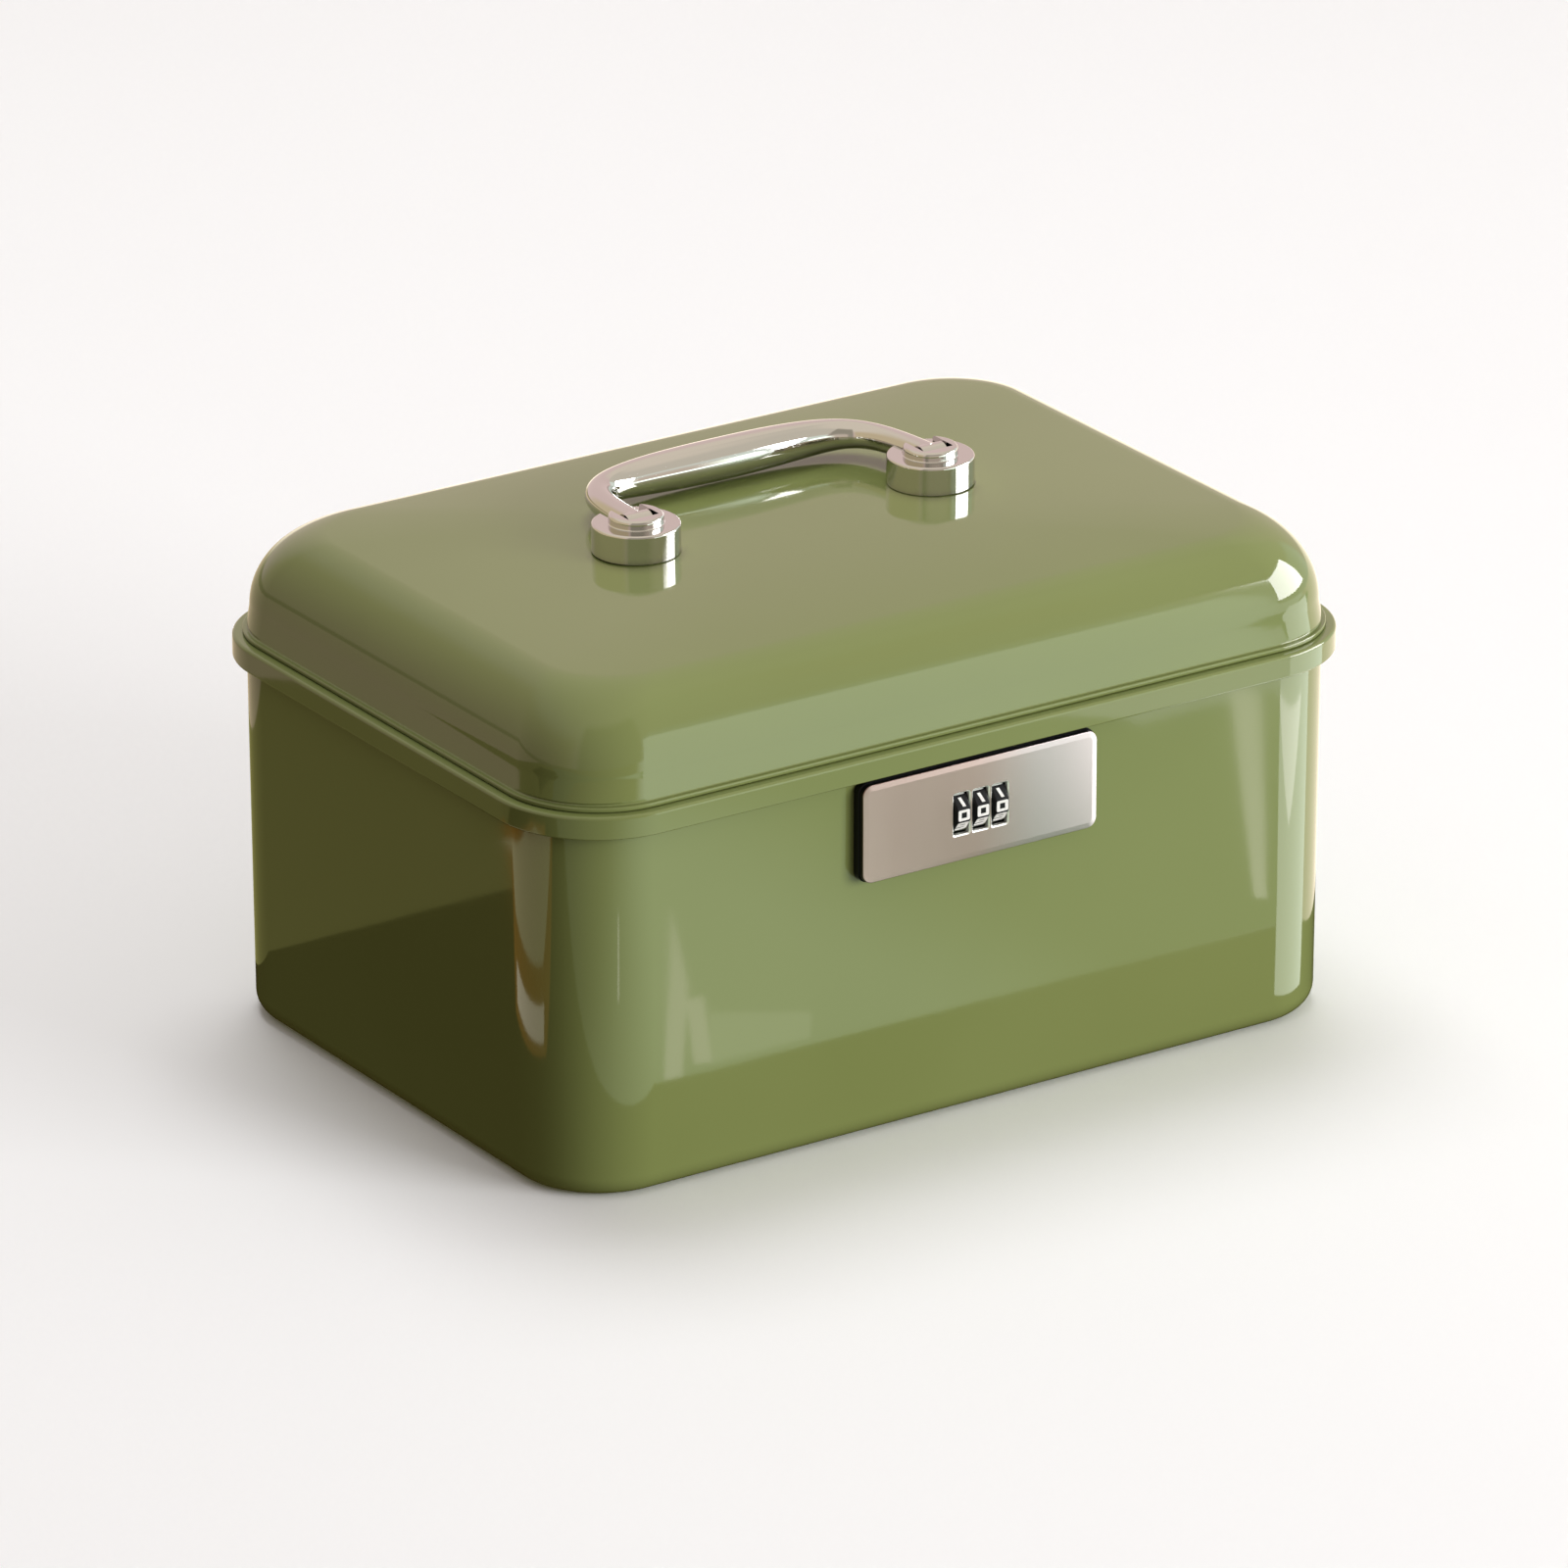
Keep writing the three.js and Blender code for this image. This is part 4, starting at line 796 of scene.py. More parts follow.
def lock_backing():
    """The black moulding behind the plate, with a spigot through the wall at each corner."""
    middle_z, half = plate_outline()
    back = wall_front - RUNNING_GAP / 2
    front = backing_low.y + BACKING_EDGE
    place = (0, back, middle_z)
    piece = slab("plate_backing", place, half, PLATE_CORNER, back - front, upright=True, steps=PLATE_STEPS)
    with Editing(piece) as edit:
        edit.pick(facing((0, -1, 0), -front))
        follow([(BACKING_EDGE, BACKING_EDGE)], (0, 0))
    carve(piece, lock_opening())
    length = backing_high.y - back + BACKING_EDGE
    for place in in_wall("lock_screw", backing_high.y - length / 2):
        weld(piece, rod("spigot", place, SPIGOT_RADIUS, length, "y"))
    return finish_piece(piece, "body", "black_plastic", "lock_backing")


def number_cut(words):
    """A cutting shape for a hole in a number: its rows, and the sides on which it runs out."""
    past = 2 * wheel_radius
    side = DIGIT_WIDTH / 2 - UPRIGHT_STROKE
    top = DIGIT_HEIGHT / 2 - LEVEL_STROKE
    low_z = -top if "lower" in words else LEVEL_STROKE / 2
    high_z = top if "upper" in words else -LEVEL_STROKE / 2
    low = (-past if "left" in words else -side, -past, -past if "bottom" in words else low_z)
    high = (past if "right" in words else side, 0, past if "top" in words else high_z)
    return block("number_cut", low, high)


def slanted_one(foot, thickness):
    """The number 1: a plain stroke whose top leans to the left."""
    left = (ONE_LEAN - UPRIGHT_STROKE) / 2
    low = (left, foot - thickness, -ONE_HEIGHT / 2)
    sign = block("number_1", low, (left + UPRIGHT_STROKE, foot, ONE_HEIGHT / 2))
    with Editing(sign, "VERT") as edit:
        edit.pick(lambda vert: vert.co.z > 0)
        bpy.ops.transform.translate(value=(-ONE_LEAN, 0, 0))
    return sign


def number_sign(number, face):
    """A squared white number on the wheel's front face, turned round to the face that carries it."""
    buried = DIGIT_DEPTH / 2
    foot = buried - face
    thickness = DIGIT_DEPTH + buried
    if number == 1:
        sign = slanted_one(foot, thickness)
    else:
        half = (DIGIT_WIDTH / 2, DIGIT_HEIGHT / 2)
        sign = slab("number", (0, foot, 0), half, DIGIT_CORNER, thickness, upright=True, steps=EDGE_STEPS)
        carve(sign, *[number_cut(words) for words in NUMBER_CUTS[number]])
    sign.data.transform(Matrix.Rotation(-2 * math.pi * number / DIGITS, 4, "X"))
    sign.data.materials.clear()
    sign.data.materials.append(white_ink)
    return sign


def digit_wheel():
    """A ten-sided wheel with a number on each face, hollow for its code ring."""
    width = wheel_high.x - wheel_low.x
    face = wheel_flat - DIGIT_DEPTH
    radius = face / math.cos(math.pi / DIGITS)
    piece = rod("digit_wheel", (0, 0, 0), radius, width, "x", sides=DIGITS)
    piece.data.transform(Matrix.Rotation(math.pi / DIGITS, 4, "X"))
    with Editing(piece, "EDGE") as edit:
        edit.pick(lambda edge: abs(edge.verts[0].co.x - edge.verts[1].co.x) < LOOSE)
        bpy.ops.mesh.bevel(offset=WHEEL_RIM, segments=1, affect="EDGES")
    soften(piece, WHEEL_EDGE)
    carve(piece, rod("bore", (0, 0, 0), WHEEL_BORE, 2 * width, "x"))
    piece.data.materials.append(finishes["black_plastic"])
    return join([piece] + [number_sign(number, face) for number in range(DIGITS)], "digit_wheel")


def digit_wheels():
    pattern = digit_wheel()
    for i, x in enumerate(dial_xs(), 1):
        wheel = copy_at(pattern, f"number_wheel_{i}", (x, dial_y, dial_centre.z))
        finish_piece(wheel, f"dial_{i}", "black_plastic", f"digit_wheel_{i}")
    bpy.data.objects.remove(pattern)


# Hinges

def around(y, z, radius, start, turn, steps=EDGE_STEPS):
    """Points (y, z) round a centre, from one angle by a turn."""
    turns = [start + turn * i / steps for i in range(steps + 1)]
    return [(y + radius * math.cos(angle), z + radius * math.sin(angle)) for angle in turns]


def roll(start):
    """The middle of a knuckle's sheet, wound back round the pin from one angle."""
    radius = KNUCKLE_RADIUS - LEAF_THICKNESS / 2
    return around(hinge_y, hinge_z, radius, start, -KNUCKLE_ROLL, ROLL_STEPS)


def flat_leaf(name, far, near, cut):
    """A leaf's sheet between two heights, cut into three columns, with rounded far corners."""
    half = hinge_length / 2
    (far_y, far_z), (near_y, near_z) = far, near
    centre = (hinge_x, far_y, (far_z + near_z) / 2)
    stretch = (2 * half, abs(far_z - near_z), 1)
    turn = (math.pi / 2, 0, 0)
    piece = add(bpy.ops.mesh.primitive_plane_add, name, stretch, size=1, location=centre, rotation=turn)
    with Editing(piece, "VERT") as edit:
        for side in (-1, 1):
            bpy.ops.mesh.select_all(action="SELECT")
            bpy.ops.mesh.bisect(plane_co=(hinge_x + side * cut, 0, 0), plane_no=(1, 0, 0))
        edit.pick(lambda vert: abs(vert.co.z - near_z) < LOOSE)
        bpy.ops.transform.translate(value=(0, near_y - far_y, 0))
        edit.pick(lambda vert: abs(vert.co.z - far_z) < LOOSE and abs(vert.co.x - hinge_x) > half - LOOSE)
        bpy.ops.mesh.bevel(offset=LEAF_CORNER, segments=ROUND_STEPS, affect="VERTICES")
    return piece


def hinge_leaf(name, far, near, cut, middle_rolls, path, spare):
    """A leaf whose middle tongue, or else its two outer ones, follow a path on from the near edge.

    The rest of that edge runs straight on by a spare length.
    """
    piece = flat_leaf(name, far, near, cut)
    near_y, near_z = near

    def on_line(edge, middle):
        first, last = [vert.co for vert in edge.verts]
        level = abs(first.z - near_z) < LOOSE and abs(last.z - near_z) < LOOSE
        inner = abs((first.x + last.x) / 2 - hinge_x) < cut
        return level and inner == middle

    with Editing(piece, "EDGE") as edit:
        edit.pick(lambda edge: on_line(edge, not middle_rolls))
        extrude_edges((0, 0, spare))
        edit.pick(lambda edge: on_line(edge, middle_rolls))
        y, z = near_y, near_z
        for next_y, next_z in path:
            extrude_edges((0, next_y - y, next_z - z))
            y, z = next_y, next_z
        edit.face_out()
    apply_modifier(piece, "SOLIDIFY", thickness=LEAF_THICKNESS, offset=0, use_even_offset=True)
    with Editing(piece) as edit:
        edit.face_out()
    soften(piece, FINE_EDGE)
    return piece


def body_leaf():
    """The leaf on the body's wall: its two outer tongues step out under the band and rise to the pin."""
    wall_y = leaf_low.y + LEAF_THICKNESS / 2
    step_z = band_low - LEAF_BELOW_BAND - LEAF_THICKNESS / 2
    arm_y = hinge_y - KNUCKLE_RADIUS + LEAF_THICKNESS / 2
    path = around(wall_y + LEAF_BEND, step_z - LEAF_BEND, LEAF_BEND, math.pi, -math.pi / 2)
    path += around(arm_y - LEAF_BEND, step_z + LEAF_BEND, LEAF_BEND, -math.pi / 2, math.pi / 2)
    path += roll(math.pi)
    far = (wall_y, leaf_low.z)
    near = (wall_y, step_z - LEAF_BEND)
    cut = LID_KNUCKLE / 2 + KNUCKLE_GAP
    spare = LEAF_BEND + LEAF_THICKNESS / 2
    return hinge_leaf("body_leaf_right", far, near, cut, False, path[1:], spare)


def lid_leaf():
    """The leaf on the lid's wall: its middle tongue bends back and rolls over the pin."""
    low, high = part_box("hinge_lid_leaf_right")
    tab_z = hinge_z + KNUCKLE_RADIUS - LEAF_THICKNESS / 2
    far = (low.y + LEAF_THICKNESS / 2, high.z)
    lean = LID_DRAFT * (high.z - tab_z) / (lid_wall_top - bead_high)
    near = (far[0] + lean / 2, tab_z + LEAF_BEND)
    path = around(near[0] + LEAF_BEND, near[1], LEAF_BEND, math.pi, math.pi / 2) + roll(math.pi / 2)
    return hinge_leaf("lid_leaf_right", far, near, LID_KNUCKLE / 2, True, path[1:], -2 * LEAF_BEND)


def hinge_pin():
    """A pin with a domed head at each end."""
    length = hinge_high.x - hinge_low.x
    radius = (hinge_high.z - hinge_low.z) / 2
    middle = (hinge_x, hinge_y, hinge_z)
    piece = rod("rivet_pin_right", middle, HINGE_PIN_RADIUS, length - PIN_HEAD_HEIGHT, "x")
    for side in (-1, 1):
        foot = Vector(middle) + Vector((side, 0, 0)) * (length / 2 - PIN_HEAD_HEIGHT)
        head = domed_rod("head", foot, (side, 0, 0), radius, PIN_HEAD_HEIGHT, PIN_HEAD_HEIGHT / 2)
        weld(piece, head)
    return piece


def hinges():
    """Both hinges: the left one is a copy of the right one."""
    on_body = drill(body_leaf(), [middle_of("body_rivet_3"), middle_of("body_rivet_4")], RIVET_RADIUS)
    on_lid = drill(lid_leaf(), [middle_of("lid_rivet_3"), middle_of("lid_rivet_4")], RIVET_RADIUS)
    pairs = [(on_body, "body_leaf_left", "body", "chrome", "hinge_body_leaf"),
             (on_lid, "lid_leaf_left", "lid", "chrome", "hinge_lid_leaf"),
             (hinge_pin(), "rivet_pin_left", "body", "zinc_steel", "hinge_pin")]
    for right, name, body, slot, stem in pairs:
        left = copy_at(right, name, (-2 * hinge_x, 0, 0))
        finish_piece(right, body, slot, f"{stem}_right")
        finish_piece(left, body, slot, f"{stem}_left")


# Fasteners

def rivet(node):
    """A rivet with its domed head behind the box and its low tail inside."""
    low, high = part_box(node)
    middle = (low + high) / 2
    tail_foot = Vector((middle.x, low.y + RIVET_TAIL_HEIGHT, middle.z))
    head_foot = Vector((middle.x, high.y - RIVET_HEAD_HEIGHT, middle.z))
    length = head_foot.y - tail_foot.y + RIVET_TAIL_HEIGHT
    piece = rod("rivet", (tail_foot + head_foot) / 2, RIVET_RADIUS, length, "y")
    head = domed_rod("head", head_foot, (0, 1, 0), (high.x - low.x) / 2, RIVET_HEAD_HEIGHT, RIVET_DOME)
    tail_dome = RIVET_TAIL_HEIGHT / 2
    tail = domed_rod("tail", tail_foot, (0, -1, 0), RIVET_TAIL_RADIUS, RIVET_TAIL_HEIGHT, tail_dome)
    return weld(piece, head, tail)


def lock_screw(node):
    """A long screw whose slotted head rests on the lock's cover."""
    low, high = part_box(node)
    middle = (low + high) / 2
    foot = Vector((middle.x, high.y - SCREW_HEAD_HEIGHT, middle.z))
    shank_middle = (middle.x, (low.y + foot.y) / 2 + FINE_EDGE, middle.z)
    piece = rod("screw", shank_middle, SCREW_RADIUS, foot.y - low.y + 2 * FINE_EDGE, "y")
    radius = (high.x - low.x) / 2
    weld(piece, domed_rod("head", foot, (0, 1, 0), radius, SCREW_HEAD_HEIGHT, SCREW_HEAD_HEIGHT / 2))
    slot_low = (low.x - THROUGH, high.y - SCREW_SLOT, middle.z - SCREW_SLOT / 2)
    slot_high = (high.x + THROUGH, high.y + THROUGH, middle.z + SCREW_SLOT / 2)
    return carve(piece, block("slot", slot_low, slot_high))


def row_of(make, stem, name, body):
    """One fastener made where the first node lies, and copied to the others."""
    nodes = numbered(stem)
    pattern = make(nodes[0])
    for twin_name, node in zip(numbered(name), nodes):
        twin = copy_at(pattern, twin_name, middle_of(node) - middle_of(nodes[0]))
        finish_piece(twin, body, "zinc_steel", node)
    bpy.data.objects.remove(pattern)


def on_stud(node):
    """Middle, radius and height of a flat piece on a handle cup's stud."""
    low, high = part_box(node)
    return (low + high) / 2, max(high.x - low.x, high.y - low.y) / 2, high.z - low.z


def stud_washer(name, node):
    middle, radius, height = on_stud(node)
    piece = drill(rod(name, middle, radius, height), [middle], STUD_RADIUS, "z")
    soften(piece, FINE_EDGE)
    finish_piece(piece, "lid", "zinc_steel", node)


def stud_nut(name, node):
    """A six-sided nut whose corners are turned off at both ends."""
    middle, radius, height = on_stud(node)
    piece = rod(name, middle, radius, height, sides=NUT_SIDES)
    turned = rod("turned", middle, radius, height)
    soften(turned, NUT_CHAMFER, segments=1)
    carve(piece, turned, operation="INTERSECT")
    drill(piece, [middle], STUD_RADIUS, "z")
    finish_piece(piece, "lid", "zinc_steel", node)


def nuts_and_washers():
    for side in ("left", "right"):
        stud_washer(f"stud_washer_{side}", f"handle_washer_{side}")
        stud_nut(f"stud_nut_{side}", f"handle_nut_{side}")


# Inside of the lock, and the handle's pins

def softened_copy(node, name, width):
    """A copy of the frame's solid with its flat faces joined up and its sharp edges broken."""
    piece = bpy.data.objects.new(name, frame["nodes"][node].data.copy())
    bpy.context.collection.objects.link(piece)
    piece.data.name = name
    piece.data.materials.clear()
    with Editing(piece, "VERT"):
        bpy.ops.mesh.remove_doubles(threshold=LOOSE)
        bpy.ops.mesh.dissolve_limited(angle_limit=FLAT_ANGLE)
    soften(piece, width)
    finish_piece(piece, body_of(node), slot_of(node), node)


def lock_inside():
    """The rest of the lock and the handle's pins, on which only the edges need work."""
    softened_copy("lock_case", "case", CASE_EDGE)
    softened_copy("lock_cover", "case_cover", CASE_EDGE)
    softened_copy("latch_bolt", "bolt", FINE_EDGE)
    softened_copy("lid_strike", "strike", FINE_EDGE)
    softened_copy("detent_spring", "leaf_spring", FINE_EDGE / 2)
    softened_copy("dial_shaft", "shaft", FINE_EDGE)
    for node, name in zip(numbered("code_ring", DIALS), numbered("ring", DIALS)):
        softened_copy(node, name, FINE_EDGE / 2)
    for side in ("left", "right"):
        softened_copy(f"handle_pin_{side}", f"pivot_pin_{side}", FINE_EDGE)


# Shader building

# Sockets of a Mix node that mixes colours, by number because their names repeat
MIX_SHARE = 0
MIX_FIRST = 6
MIX_SECOND = 7
MIX_COLOUR = 2


class Value:
    """A number that varies over a surface; working with it adds Math nodes."""

    def __init__(self, graph, socket):
        self.graph = graph
        self.socket = socket

    def __add__(self, other):
        return self.graph.math("ADD", self, other)

    def __rsub__(self, other):
        return self.graph.math("SUBTRACT", other, self)

    def __mul__(self, other):
        return self.graph.math("MULTIPLY", self, other)

    def between(self, low, high):
        """From one number to another, as this one goes from 0 to 1."""
        return self * (high - low) + low

    def step(self, low, high):
        """0 below the first value, 1 above the second, smooth between them."""
        settings = {"interpolation_type": "SMOOTHSTEP"}
        inputs = {"Value": self, "From Min": low, "From Max": high}
        return self.graph.value("ShaderNodeMapRange", settings, inputs, "Result")


class Graph:
    """The nodes of one material or world."""

    def __init__(self, tree):
        self.tree = tree

    def node(self, kind, settings, inputs):
        """Adds a node: its settings first, then the values or links of its sockets."""
        node = self.tree.nodes.new(kind)
        for name, value in settings.items():
            setattr(node, name, value)
        for name, value in inputs.items():
            socket = node.inputs[name]
            source = value.socket if isinstance(value, Value) else value
            if isinstance(source, bpy.types.NodeSocket):
                self.tree.links.new(source, socket)
            else:
                socket.default_value = source
        return node

    def value(self, kind, settings, inputs, output):
        return Value(self, self.node(kind, settings, inputs).outputs[output])

    def math(self, operation, *numbers):
        inputs = dict(enumerate(numbers))
        return self.value("ShaderNodeMath", {"operation": operation}, inputs, 0)

    def place(self, source="Object"):
        return self.node("ShaderNodeTexCoord", {}, {}).outputs[source]

    def parts(self, vector):
        """The X, Y and Z of a vector."""
        split = self.node("ShaderNodeSeparateXYZ", {}, {"Vector": vector})
        return [Value(self, split.outputs[name]) for name in "XYZ"]

    def noise(self, scale, detail, stretch=(1, 1, 1)):
        """Soft noise over the place on the piece, which may be drawn out along its axes."""
        mapping = self.node("ShaderNodeMapping", {}, {"Vector": self.place(), "Scale": stretch})
        inputs = {"Vector": mapping.outputs["Vector"], "Scale": scale, "Detail": detail}
        return self.value("ShaderNodeTexNoise", {}, inputs, "Fac")

    def blend(self, share, first, second):
        """One colour over to another by a share from 0 to 1."""
        inputs = {MIX_SHARE: share, MIX_FIRST: as_colour(first), MIX_SECOND: as_colour(second)}
        return self.node("ShaderNodeMix", {"data_type": "RGBA"}, inputs).outputs[MIX_COLOUR]

    def bump(self, height, distance, under=None):
        """A normal that a height bends by up to a distance, on top of another one."""
        inputs = {"Height": height, "Distance": distance, "Strength": 1.0}
        if under:
            inputs["Normal"] = under
        return self.node("ShaderNodeBump", {}, inputs).outputs["Normal"]

    def show(self, shader, kind):
        """Sends a shader to an output node of this kind."""
        output = self.node(kind, {}, {})
        self.tree.links.new(shader, output.inputs["Surface"])


def as_colour(colour):
    return colour if isinstance(colour, bpy.types.NodeSocket) else (*colour, 1)


def new_material(name):
    """An empty Principled material and its graph."""
    material = bpy.data.materials.new(name)
    material.use_nodes = True
    shader = material.node_tree.nodes["Principled BSDF"]
    return material, Graph(material.node_tree), shader


def connect(graph, shader, **links):
    """Feeds sockets of the shader by their names, spaces written as underscores."""
    for name, source in links.items():
        source = source.socket if isinstance(source, Value) else source
        graph.tree.links.new(source, shader.inputs[name.replace("_", " ")])


def preset(shader, **values):
    """Sets sockets of the shader, named in the same way, to what is the same all over."""
    for name, value in values.items():
        shader.inputs[name.replace("_", " ")].default_value = value


# Finishes

def green_enamel():
    """Stoved gloss enamel that flowed into soft waves, its depth of colour slightly uneven."""
    material, graph, shader = new_material("green_enamel")
    depth = graph.noise(scale=9, detail=3).step(0.35, 0.65)
    waves = graph.bump(graph.noise(scale=26, detail=1), ENAMEL_WAVES)
    connect(graph, shader,
            Base_Color=graph.blend(depth, ENAMEL_COLOUR, ENAMEL_THIN),
            Roughness=graph.noise(scale=40, detail=3).between(0.045, 0.075),
            Normal=graph.bump(graph.noise(scale=900, detail=2), ENAMEL_SKIN, waves))
    preset(shader, IOR=ENAMEL_IOR)
    return material


def chrome():
    """Polished plating with faint handling marks."""
    material, graph, shader = new_material("chrome")
    marks = graph.noise(scale=160, detail=4).step(0.5, 0.75)
    connect(graph, shader,
            Roughness=marks.between(0.035, 0.085),
            Normal=graph.bump(graph.noise(scale=120, detail=2), CHROME_MARKS))
    preset(shader, Base_Color=as_colour(CHROME_COLOUR), Metallic=1)
    return material


def brushed_plate():
    """Satin metal rubbed along its length and crowned so that it shades softly, with a painted highlight:
    paler and cooler towards its right end.
    """
    material, graph, shader = new_material("brushed_plate")
    x = graph.parts(graph.place())[0]
    grain = graph.noise(scale=2600, detail=3, stretch=(1, 1, 0.012))
    cloud = graph.noise(scale=60, detail=2, stretch=(1, 1, 0.3))
    warm = graph.blend(cloud, PLATE_COLOUR, PLATE_PALE)
    connect(graph, shader,
            # The blend along x is a painted highlight towards the plate's right end
            Base_Color=graph.blend(x.step(PLATE_HIGHLIGHT_FROM, PLATE_HIGHLIGHT_TO), warm, PLATE_HIGHLIGHT_COLOUR),
            Roughness=grain.between(0.24, 0.38),
            Normal=graph.bump(grain, PLATE_GRAIN, graph.bump(x * x, -PLATE_CROWN)))
    preset(shader, Metallic=1)
    return material


def zinc_steel():
    """Bright plated steel, mottled where the plating dulls."""
    material, graph, shader = new_material("zinc_steel")
    dull = graph.noise(scale=380, detail=4).step(0.4, 0.7)
    connect(graph, shader,
            Base_Color=graph.blend(dull, ZINC_COLOUR, ZINC_DULL),
            Roughness=dull.between(0.24, 0.40),
            Normal=graph.bump(graph.noise(scale=700, detail=3), ZINC_GRAIN))
    preset(shader, Metallic=1)
    return material


def black_plastic():
    """Moulded black with a fine satin grain."""
    material, graph, shader = new_material("black_plastic")
    connect(graph, shader,
            Roughness=graph.noise(scale=90, detail=2).between(0.26, 0.38),
            Normal=graph.bump(graph.noise(scale=2400, detail=2), BLACK_GRAIN))
    preset(shader, Base_Color=as_colour(BLACK_COLOUR), Specular_IOR_Level=BLACK_SHINE)
    return material


def number_paint():
    """White paint of the wheels' numbers, a little worn."""
    material, graph, shader = new_material("white_ink")
    wear = graph.noise(scale=1500, detail=3).step(0.3, 0.7)
    connect(graph, shader,
            Base_Color=graph.blend(wear, INK_COLOUR, INK_WORN),
            Roughness=wear.between(0.4, 0.5))
    return material


def bright_cut():
    """The bare metal of the windows' cut edges, made near white as a painted highlight."""
    material, graph, shader = new_material("bright_cut")
    connect(graph, shader, Roughness=graph.noise(scale=900, detail=2).between(0.45, 0.55))
    preset(shader, Base_Color=as_colour(WINDOW_HIGHLIGHT_COLOUR), Metallic=1)
    return material


slot_finishes = (green_enamel, chrome, brushed_plate, black_plastic, zinc_steel)
finishes = {make.__name__: make() for make in slot_finishes}
white_ink = number_paint()
window_highlight_finish = bright_cut()


# Studio

def camera():
    data = bpy.data.cameras.new("camera")
    data.lens = LENS
    data.sensor_width = SENSOR
    data.clip_end = FAR_END
    holder = bpy.data.objects.new("camera", data)
    bpy.context.collection.objects.link(holder)
    holder.location = CAMERA_PLACE
    holder.rotation_euler = Euler((math.pi / 2 - CAMERA_ELEVATION, 0, CAMERA_AZIMUTH))
    holder.matrix_basis = holder.matrix_basis @ Matrix.Rotation(CAMERA_ROLL, 4, "Z")
    bpy.context.scene.camera = holder


def direction(azimuth, elevation):
    """A direction: azimuth 0 is straight to the front and 90 to the right, in degrees."""
    turn, rise = math.radians(azimuth), math.radians(elevation)
    return Vector((math.sin(turn) * math.cos(rise), -math.cos(turn) * math.cos(rise), math.sin(rise)))


def soft_light(name, azimuth, elevation, distance, size, power):
    """A large soft light that looks at the box, itself unseen and unreflected."""
    data = bpy.data.lights.new(name, "AREA")
    data.shape = "RECTANGLE"
    data.size, data.size_y = size
    data.energy = power
    light = bpy.data.objects.new(name, data)
    bpy.context.collection.objects.link(light)
    towards = direction(azimuth, elevation)
    light.location = Vector((0, 0, BOX_MIDDLE)) + towards * distance
    light.rotation_euler = towards.to_track_quat("Z", "Y").to_euler()
    light.visible_camera = False
    light.visible_glossy = False


def card(name, corners, colour, fades=(), soft_ends=()):
    """A lit card that only shows in reflections.

    Each of its fades turns it, from one X to another, into a next colour. Soft ends are the X of
    both sides and the Z of the top where it has faded away, and over how far it fades.
    """
    mesh = bpy.data.meshes.new(name)
    mesh.from_pydata(corners, [], [range(len(corners))])
    piece = bpy.data.objects.new(name, mesh)
    bpy.context.collection.objects.link(piece)
    material = bpy.data.materials.new(name)
    material.use_nodes = True
    graph = Graph(material.node_tree)
    graph.tree.nodes.clear()
    x, _, z = graph.parts(graph.place())
    for start, end, next_colour in fades:
        colour = graph.blend(x.step(start * MM, end * MM), colour, next_colour)
    surface = graph.node("ShaderNodeEmission", {}, {"Color": as_colour(colour)}).outputs[0]
    if soft_ends:
        left, right, top, reach = [end * MM for end in soft_ends]
        sides = x.step(left, left + reach) * (1 - x.step(right - reach, right))
        shown = sides * (1 - z.step(top - reach, top))
        clear = graph.node("ShaderNodeBsdfTransparent", {}, {}).outputs[0]
        surface = graph.node("ShaderNodeMixShader", {}, {0: shown, 1: clear, 2: surface}).outputs[0]
    graph.show(surface, "ShaderNodeOutputMaterial")
    material.cycles.emission_sampling = "NONE"
    mesh.materials.append(material)
    for ray in ("camera", "diffuse", "transmission", "volume_scatter", "shadow"):
        setattr(piece, f"visible_{ray}", False)


def ground_card(name, depth, corners, colour, *fades):
    """A card just under the ground; its corners (x, y), its depth and its fades are in millimetres."""
    card(name, [Vector((x, y, -depth)) * MM for x, y in corners], colour, fades)


def upright_card(name, y, x_range, z_range, colour, soft_ends=()):
    """A card across the box's front, its place in millimetres."""
    (left, right), (low, high) = x_range, z_range
    corners = [(left, low), (right, low), (right, high), (left, high)]
    card(name, [Vector((x, y, z)) * MM for x, z in corners], colour, soft_ends=soft_ends)


def far_card(name, centre, corners, colour):
    """A card a few metres off whose corners lie in these directions, seen from a point on the box."""
    card(name, [Vector(centre) * MM + direction(*corner) * CARD_DISTANCE for corner in corners], colour)


def left_cards():
    """Dark ground to the left, paler at the back, and an amber card on it with two bright ends."""
    ground_card("dark_ground", 8, [(-1600, -160), (-1600, 1600), (190, 1600), (190, -160)],
                (0.33, 0.31, 0.10))
    ground_card("back_ground", 6, [(-1600, 300), (-1600, 1600), (190, 1600), (190, 300)],
                (0.80, 0.65, 0.42))
    ground_card("black_ground", 4, [(-900, -165), (190, -155), (190, 120), (-900, 110)],
                (0.03, 0.022, 0.004))
    ground_card("amber_card", 3, [(-262, 156), (-196, 36), (-222, -62), (-400, -98), (-400, -20),
                                  (-300, 140)], (0.70, 0.27, 0.03))
    ground_card("amber_far_end", 2, [(-255, 145), (-241, 88), (-281, -46), (-381, -86), (-390, -40),
                                     (-340, 70)], (1.27, 1.09, 0.62))
    ground_card("amber_near_end", 2, [(-222, 60), (-254, -52), (-227, -55), (-204, 35)],
                (2.3, 2.0, 1.5))


